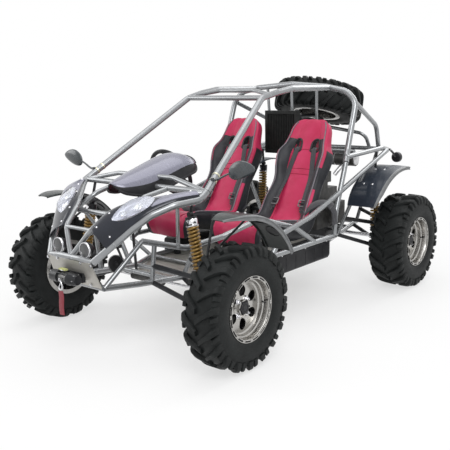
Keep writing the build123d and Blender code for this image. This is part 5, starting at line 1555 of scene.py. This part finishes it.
def spring_caps():
    """Coils, and the damper bodies' caps over and under them."""
    shape = Shape()
    coils = Shape()
    for points in node_solids("shock_springs"):
        centre, axis = main_axis(points)
        if axis.z < 0:
            axis = -axis
        centre = Vector(points.mean(0))
        reach = (points - np.array(centre)) @ np.array(axis)
        top = centre + axis * reach.max()
        low = centre + axis * reach.min()
        turn = facing(axis, top)
        shape.lathe("damper_cap", 40, place=turn)
        shape.lathe("damper_nut", 20, 1, place=facing(axis, top + axis * 44 * MM))
        shape.lathe("damper_seat", 40, place=facing(axis, low))
        side = axis.orthogonal().normalized()
        over = axis.cross(side)
        length = (top - low).length - 2 * COIL_WIRE
        start = low + axis * COIL_WIRE
        path = []
        for step in range(COIL_TURNS * COIL_STEPS + 1):
            share = step / (COIL_TURNS * COIL_STEPS)
            turn = 2 * math.pi * COIL_TURNS * share
            path.append(start + axis * length * share
                        + (side * math.cos(turn) + over * math.sin(turn)) * COIL_RADIUS)
        coils.tube(path, COIL_WIRE, 10)
    put(shape, "damper_caps", ["chrome", "black_plastic"], "chassis", "bright_steel")
    put(coils, "damper_coils", ["spring_gold"], "chassis", "spring_gold", "shock_springs", sharp=60)


def ring_points(centre, axis, radius, count):
    """Points round an axis."""
    side = axis.orthogonal().normalized()
    over = axis.cross(side)
    return [centre + (side * math.cos(turn) + over * math.sin(turn)) * radius for turn in turns(count)]


def mirrors():
    """Teardrop mirrors on curved stalks, with their glass."""
    low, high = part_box("mirrors")
    shape = Shape()
    tip = Vector((high.x + 8 * MM, (low.y + high.y) / 2, low.z + (high.z - low.z) * 0.70 + MIRROR_LIFT))
    root = Vector((high.x - MIRROR_LENGTH, (low.y + high.y) / 2,
                   low.z + (high.z - low.z) * 0.34 + MIRROR_LIFT))
    axis = tip - root
    rings = []
    for step in range(29):
        share = step / 28
        size = math.sin(math.pi * min(share, 1) ** 0.72) ** 0.62 if 0 < share < 1 else 0.02
        centre = root + axis * share + UP * (6 * MM * math.sin(math.pi * share))
        rings.append([centre + UP * (math.cos(turn) * MIRROR_HEIGHT * size)
                      + ALONG * (math.sin(turn) * MIRROR_DEPTHS[math.sin(turn) >= 0] * size)
                      for turn in turns(32)])
    shape.rings(rings)
    foot = Vector(MIRROR_ROOT)
    stalk = smooth([foot, foot.lerp(root, 0.35) + mm(0, 0, -8), foot.lerp(root, 0.75) + mm(0, 0, -5),
                    root + axis * 0.12], 28)
    shape.tube(stalk, [6.5 * MM - 1.5 * MM * index / 27 for index in range(28)], 12)
    shape.lathe("mirror_foot", 20, place=facing(UP, foot))
    glass = []
    for depth, size in ((12.3, 0.0), (12.3, 0.80), (10.0, 0.86)):
        glass.append([root + axis * 0.60 + axis.normalized() * (math.cos(turn) * 42 * MM * size)
                      + UP * (math.sin(turn) * 29 * MM * size) + ALONG * depth * MM
                      for turn in turns(32)])
    shape.rings(glass, 1)
    put(on_both_sides(shape), "mirror_heads", ["mirror_grey", "chrome"], "chassis", "dark_plastic",
        "mirrors", sharp=45)


def driving_lights():
    """Round lamps behind the guard: shell, bezel, reflector, bulb and glass."""
    low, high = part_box("driving_lamps")
    radius = LAMP_RADIUS
    shape = Shape()
    glass = Shape()
    for sign in (-1, 1):
        centre = Vector((sign * (high.x - radius), low.y, high.z - radius))
        turn = facing(-ALONG, centre)
        for profile, steps, slot, closed in LAMP_LAYERS:
            shape.lathe(profile, steps, slot, closed, turn)
        glass.lathe("lamp_glass", 48, place=turn)
        shape.box(centre + Vector((0, 22 * MM, -radius - 6 * MM)), (22 * MM, 20 * MM, 24 * MM))
        shape.bolt(centre + Vector((sign * 11 * MM, 22 * MM, -radius - 8 * MM)), ACROSS * sign, 5 * MM,
                   5 * MM, 1)
    put(shape, "driving_lamp_shells", ["black_plastic", "bright_steel", "lens_silver"], "chassis",
        "black_plastic", "driving_lamps", sharp=40)
    put(glass, "driving_lamp_glass", ["lamp_glass"], "chassis", "lamp_glass", sharp=40)


def winch():
    """Winch with rope on its drum, tie bars, lever, rope lead and hook."""
    low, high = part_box("winch")
    middle_y = low.y + 34 * MM
    middle_z = (low.z + high.z) / 2
    middle = Vector((0, middle_y, middle_z))
    place = Matrix.Translation(middle)
    shape = Shape()
    shape.lathe("winch_drum", 40, place=place)
    rope = []
    for index in range(ROPE_TURNS):
        x = -33 * MM + index * ROPE_STEP
        rope += [(x, 19 * MM), (x + 1.1 * MM, 21.6 * MM), (x + 3.3 * MM, 21.6 * MM)]
    shape.lathe([(-33.5 * MM, 14 * MM)] + rope + [(34 * MM, 14 * MM)], 40, 2, place=place)
    shape.lathe("winch_motor", 40, place=place)
    shape.lathe("winch_gearbox", 40, place=place)
    shape.lathe("winch_end", 36, 1, place=place)
    for angle in TIE_TURNS:
        offset = Vector((0, math.cos(angle), math.sin(angle))) * 28 * MM
        shape.tube([middle + offset - ACROSS * 40 * MM, middle + offset + ACROSS * 40 * MM], 4 * MM, 10)
    for angle in turns(6):
        offset = Vector((0, math.cos(angle), math.sin(angle))) * 26 * MM
        for sign in (-1, 1):
            shape.bolt(middle + offset + ACROSS * sign * (86 if sign > 0 else 92) * MM, ACROSS * sign,
                       3.6 * MM, 4 * MM, 1)
    shape.box(*centre_size((-82 * MM, high.y - 22 * MM, low.z + 8 * MM),
                           (82 * MM, high.y - 1 * MM, high.z - 12 * MM)))
    lever = Vector((-20 * MM, middle_y, high.z - 2 * MM))
    shape.tube([lever + mm(-26, 0, 4), lever, lever + mm(30, 0, 6)], 4 * MM, 10, 1)
    shape.ribbon([lever + mm(-8, -6, 8), lever + mm(16, -8, 10), lever + mm(44, -8, 8)], UP, 20 * MM,
                 7 * MM, 3)
    put(shape, "winch_piece", ["black_steel", "bright_steel", "rope_grey", "lever_yellow"], "chassis",
        "black_plastic", "winch", sharp=40)
    hook_low, hook_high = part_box("winch_hook")
    hook = Shape()
    top = Vector((0, (hook_low.y + hook_high.y) / 2, hook_high.z))
    path = smooth([top + mm(x, 0, z) for x, z in HOOK_LOOP], 44)
    sizes = [5.0 * MM - 2.2 * MM * abs(index - 22) / 22 for index in range(44)]
    hook.tube(path, sizes, 12)
    hook.tube([top + mm(-12, 0, -42), top + mm(3, 0, -18)], 2.2 * MM, 8)
    hook.lathe("hook_eye", 24, closed=True, place=facing(ALONG, top + mm(0, 0, -4)))
    rope = smooth([middle + mm(0, -20, -6), middle + mm(0, -31, -10), top + mm(0, 0, 4),
                   top + mm(0, 0, -4)], 16)
    hook.tube(rope, 3.2 * MM, 8, 1)
    put(hook, "winch_hook_piece", ["bright_steel", "rope_grey"], "chassis", "bright_steel", "winch_hook",
        sharp=50)
    strap_low, strap_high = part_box("winch_strap")
    strap = Shape()
    y = (strap_low.y + strap_high.y) / 2
    drop = strap_high.z - strap_low.z
    path = [Vector((1.5 * MM * math.sin(step / 4), y + 0.9 * MM * math.sin(step / 3.2),
                    strap_high.z - drop * step / 24)) for step in range(25)]
    strap.ribbon(path, -ALONG, strap_high.x - strap_low.x, 1.4 * MM)
    piece = make(strap, "winch_strap_piece", ["strap_red"], 50)
    carried(piece, "chassis", "strap_red", "winch_strap")


def horn():
    """Horn on a bent bar under the left nose rail."""
    shape = Shape()
    axis = Vector((0.35, -0.93, 0.12)).normalized()
    centre = Vector(HORN_PLACE)
    turn = facing(axis, centre)
    shape.lathe("horn_body", 48, place=turn)
    shape.lathe("horn_rim", 48, 1, closed=True, place=turn)
    root = Vector(HORN_ROOT)
    back = centre - axis * 32 * MM
    shape.tube(smooth([root, root.lerp(back, 0.5) + mm(8, 10, -12), back], 16), 6 * MM, 10)
    put(shape, "horn_piece", ["black_plastic", "brushed_alloy"], "chassis", "black_plastic", sharp=40)


def skid_details():
    """Bolts at the front plate's corners."""
    low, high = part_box("skid_plate")
    shape = Shape()
    for x_share, z_share in SKID_BOLTS:
        for sign in (-1, 1):
            y = high.y - 4 * MM + (low.y - high.y + 5 * MM) * z_share
            z = low.z + (high.z - low.z) * z_share
            place = Vector((sign * high.x * x_share, y - 3 * MM, z))
            shape.bolt(place, Vector((0, -1, -0.35)), 6 * MM, 5 * MM)
    put(shape, "skid_bolts", ["bright_steel"], "chassis", "bright_steel")


def pillar_clamps():
    """Sleeve bands at the foot of each windscreen pillar."""
    shape = Shape()
    run = PILLAR_TOP - PILLAR_FOOT
    axis = run.normalized()
    for share in CLAMP_SHARES:
        turn = facing(axis, PILLAR_FOOT + run * share)
        shape.lathe("pillar_band", 32, closed=True, place=turn)
        shape.bolt(PILLAR_FOOT + run * share + ACROSS * (PILLAR_RADIUS + 1 * MM), ACROSS, 4 * MM, 4 * MM)
    put(on_both_sides(shape), "pillar_clamps", ["brass"], "chassis", "bright_steel")


def boots():
    """Ribbed boots on the drive shafts."""
    shape = Shape()
    for points in node_solids("half_shafts"):
        low, high = points.min(0), points.max(0)
        middle = (low + high) / 2
        for end, step in ((low[0], 1), (high[0], -1)):
            start = Vector((end + step * 34 * MM, middle[1], middle[2]))
            profile = [(0, 12 * MM)]
            for index in range(BOOT_RIBS):
                size = (38 - index * 4) * MM
                profile += [((index * 12 + 2) * MM, size - 4 * MM), ((index * 12 + 7) * MM, size)]
            profile += [(74 * MM, 15 * MM), (84 * MM, 15 * MM), (84 * MM, 12 * MM)]
            shape.lathe([(x * step, size) for x, size in profile], 32, closed=True,
                        place=Matrix.Translation(start))
    put(shape, "shaft_boots", ["black_plastic"], "chassis", "black_plastic")


def side_pods():
    """Boxes under the sills with ribs, a lid line and bolts."""
    low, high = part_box("side_boxes")
    shape = Shape()
    size = Vector((POD_WIDTH, high.y - low.y, high.z - low.z))
    centre = Vector((high.x - POD_WIDTH / 2, (low.y + high.y) / 2, (low.z + high.z) / 2))
    rings = []
    for share, shrink in POD_ENDS:
        y = low.y + size.y * share
        ring = []
        for turn in turns(40):
            c, s = math.cos(turn), math.sin(turn)
            ring.append(Vector((centre.x + math.copysign(abs(c) ** POD_CORNER, c) * size.x / 2 * shrink,
                                y, centre.z + math.copysign(abs(s) ** POD_CORNER,
                                                            s) * size.z / 2 * shrink)))
        rings.append(ring)
    shape.rings(rings)
    for index in range(POD_RIBS):
        y = low.y + size.y * (POD_RIB_START + POD_RIB_STEP * index)
        shape.tube([Vector((high.x - 1 * MM, y, low.z + 16 * MM)), Vector((high.x - 0.5 * MM, y, high.z
                                                                           - 34 * MM))], 2.6 * MM, 8)
    shape.tube([Vector((high.x - 1 * MM, low.y + 10 * MM, high.z - 22 * MM)),
                Vector((high.x - 1 * MM, high.y - 10 * MM, high.z - 22 * MM))], 2 * MM, 8)
    bolts = Shape()
    for share in POD_BOLTS:
        bolts.bolt(Vector((high.x - 2 * MM, low.y + size.y * share, high.z - 12 * MM)), ACROSS, 5 * MM,
                   4 * MM)
    put(on_both_sides(shape), "side_pods", ["black_plastic"], "chassis", "dark_plastic", "side_boxes",
        sharp=40)
    put(on_both_sides(bolts), "side_pod_bolts", ["bright_steel"], "chassis", "bright_steel")


def engine_details():
    """Fins, covers, pipes and bolts on the engine and its silencer."""
    low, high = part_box("engine")
    shape = Shape()
    middle = (low + high) / 2
    head = Vector((middle.x, low.y + 96 * MM, 0))
    for index in range(FIN_COUNT):
        shape.box((head.x, head.y, high.z - 150 * MM + index * FIN_STEP), FIN_SIZE)
    for x in ENGINE_BOLTS:
        shape.bolt(Vector((x * MM, low.y - 1 * MM, low.z + 90 * MM)), -ALONG, 7 * MM, 7 * MM, 1)
        shape.bolt(Vector((x * MM, high.y + 1 * MM, low.z + 60 * MM)), ALONG, 7 * MM, 7 * MM, 1)
    silencer_low, silencer_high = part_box("muffler")
    centre = Vector((0, silencer_high.y - 50 * MM, silencer_low.z + 50 * MM))
    for x in SILENCER_BANDS:
        shape.tube(ring_points(centre + ACROSS * x * MM, ACROSS, 50.5 * MM, 40), 2.4 * MM, 8, 1,
                   closed=True)
    for sign in (-1, 1):
        shape.lathe("silencer_end", 40, 1, place=facing(ACROSS * sign, centre
                                                        + ACROSS * sign * SILENCER_HALF))
    pipe = smooth([Vector((0.10, high.y - 60 * MM, high.z - 40 * MM)),
                   Vector((0.13, high.y - 10 * MM, high.z + 20 * MM)),
                   Vector((0.11, centre.y - 20 * MM, centre.z - 62 * MM)),
                   Vector((0.09, centre.y, centre.z - 40 * MM))], 30)
    shape.tube(pipe, 17 * MM, 16, 1)
    tail = [Vector((-0.12, centre.y + 30 * MM, centre.z - 20 * MM)), Vector((-0.12, centre.y + 46 * MM,
                                                                             centre.z - 44 * MM)),
            Vector((-0.12, centre.y + 62 * MM, centre.z - 60 * MM))]
    shape.tube(smooth(tail, 10), 15 * MM, 16, 1)
    put(shape, "engine_fittings", ["engine_metal", "brushed_alloy"], "chassis", "engine_metal", sharp=40)
    radiator_low, radiator_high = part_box("radiator")
    hoses = Shape()
    for sign in (-1, 1):
        start = Vector((sign * 100 * MM, radiator_high.y - 6 * MM, (radiator_high.z - 30 * MM)
                        if sign > 0 else (radiator_low.z + 30 * MM)))
        end = Vector((sign * 110 * MM, low.y + 60 * MM, high.z - 40 * MM))
        hoses.tube(smooth([start, start + mm(0, 40, 0), end + mm(0, -30, 120), end], 30), 14 * MM, 14)
    fan = Vector((0, radiator_high.y + 3 * MM, (radiator_low.z + radiator_high.z) / 2))
    hoses.tube(ring_points(fan, ALONG, FAN_RADIUS, 48), 5 * MM, 10, closed=True)
    for turn in turns(4):
        out = Vector((math.cos(turn + FAN_TURN), 0, math.sin(turn + FAN_TURN)))
        hoses.tube([fan + out * 20 * MM, fan + out * FAN_RADIUS], 3.5 * MM, 8)
    hoses.lathe("fan_hub", 28, place=facing(ALONG, fan))
    put(hoses, "cooling_hoses", ["black_plastic"], "chassis", "black_plastic", sharp=40)


def wheel_grip():
    """Centre pad and bolts on the steering wheel."""
    points = node_points("steering_wheel")
    low, high = points.min(0), points.max(0)
    axle = Vector((0, math.cos(math.radians(STEERING_TILT)), math.sin(math.radians(STEERING_TILT))))
    centre = Vector((low + high) / 2)
    shape = Shape()
    pad = centre + axle * 12 * MM
    shape.lathe("steering_pad", 40, place=facing(axle, pad))
    for point in ring_points(pad + axle * 12 * MM, axle, 31 * MM, 6):
        shape.bolt(point, axle, 3.4 * MM, 4 * MM, 1)
    put(shape, "steering_pad", ["black_plastic", "bright_steel"], "steering_wheel", "black_plastic",
        sharp=40)


def tail_lights():
    """Bezels and ribbed lenses of the tail lamps."""
    shape = Shape()
    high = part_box("tail_lamps")[1]
    for sign in (-1, 1):
        centre = Vector((sign * (high.x - 38 * MM), high.y - 5 * MM, TAIL_HEIGHT))
        turn = facing(ALONG, centre)
        shape.lathe("tail_shell", 48, place=turn)
        ribs = [(2 * MM, 0.0)]
        for size in range(4, 34, 5):
            ribs += [(3.4 * MM, size * MM), (4.6 * MM, (size + 1.2) * MM), (3.4 * MM, (size + 2.4) * MM)]
        shape.lathe(ribs + [(1 * MM, 35 * MM), (1 * MM, 0.0)], 48, 1, place=turn)
        root = Vector((sign * TAIL_ROOT[0], *TAIL_ROOT[1:]))
        back = centre - ALONG * 28 * MM
        shape.tube(smooth([root, root.lerp(back, 0.5) + mm(0, 0, 6), back], 12), 8 * MM, 12)
        shape.bolt(root + ACROSS * sign * 8 * MM, ACROSS * sign, 5 * MM, 4 * MM, 2)
    put(shape, "tail_lamp_pieces", ["black_plastic", "tail_red", "bright_steel"], "chassis", "tail_red",
        "tail_lamps", sharp=40)


camera()
lights()
floor()
paints()
paint_frame()
wheels()
fairings()
cowl()
front_fenders()
rear_fenders()
seats()
spring_caps()
mirrors()
driving_lights()
winch()
horn()
skid_details()
pillar_clamps()
boots()
side_pods()
engine_details()
wheel_grip()
tail_lights()
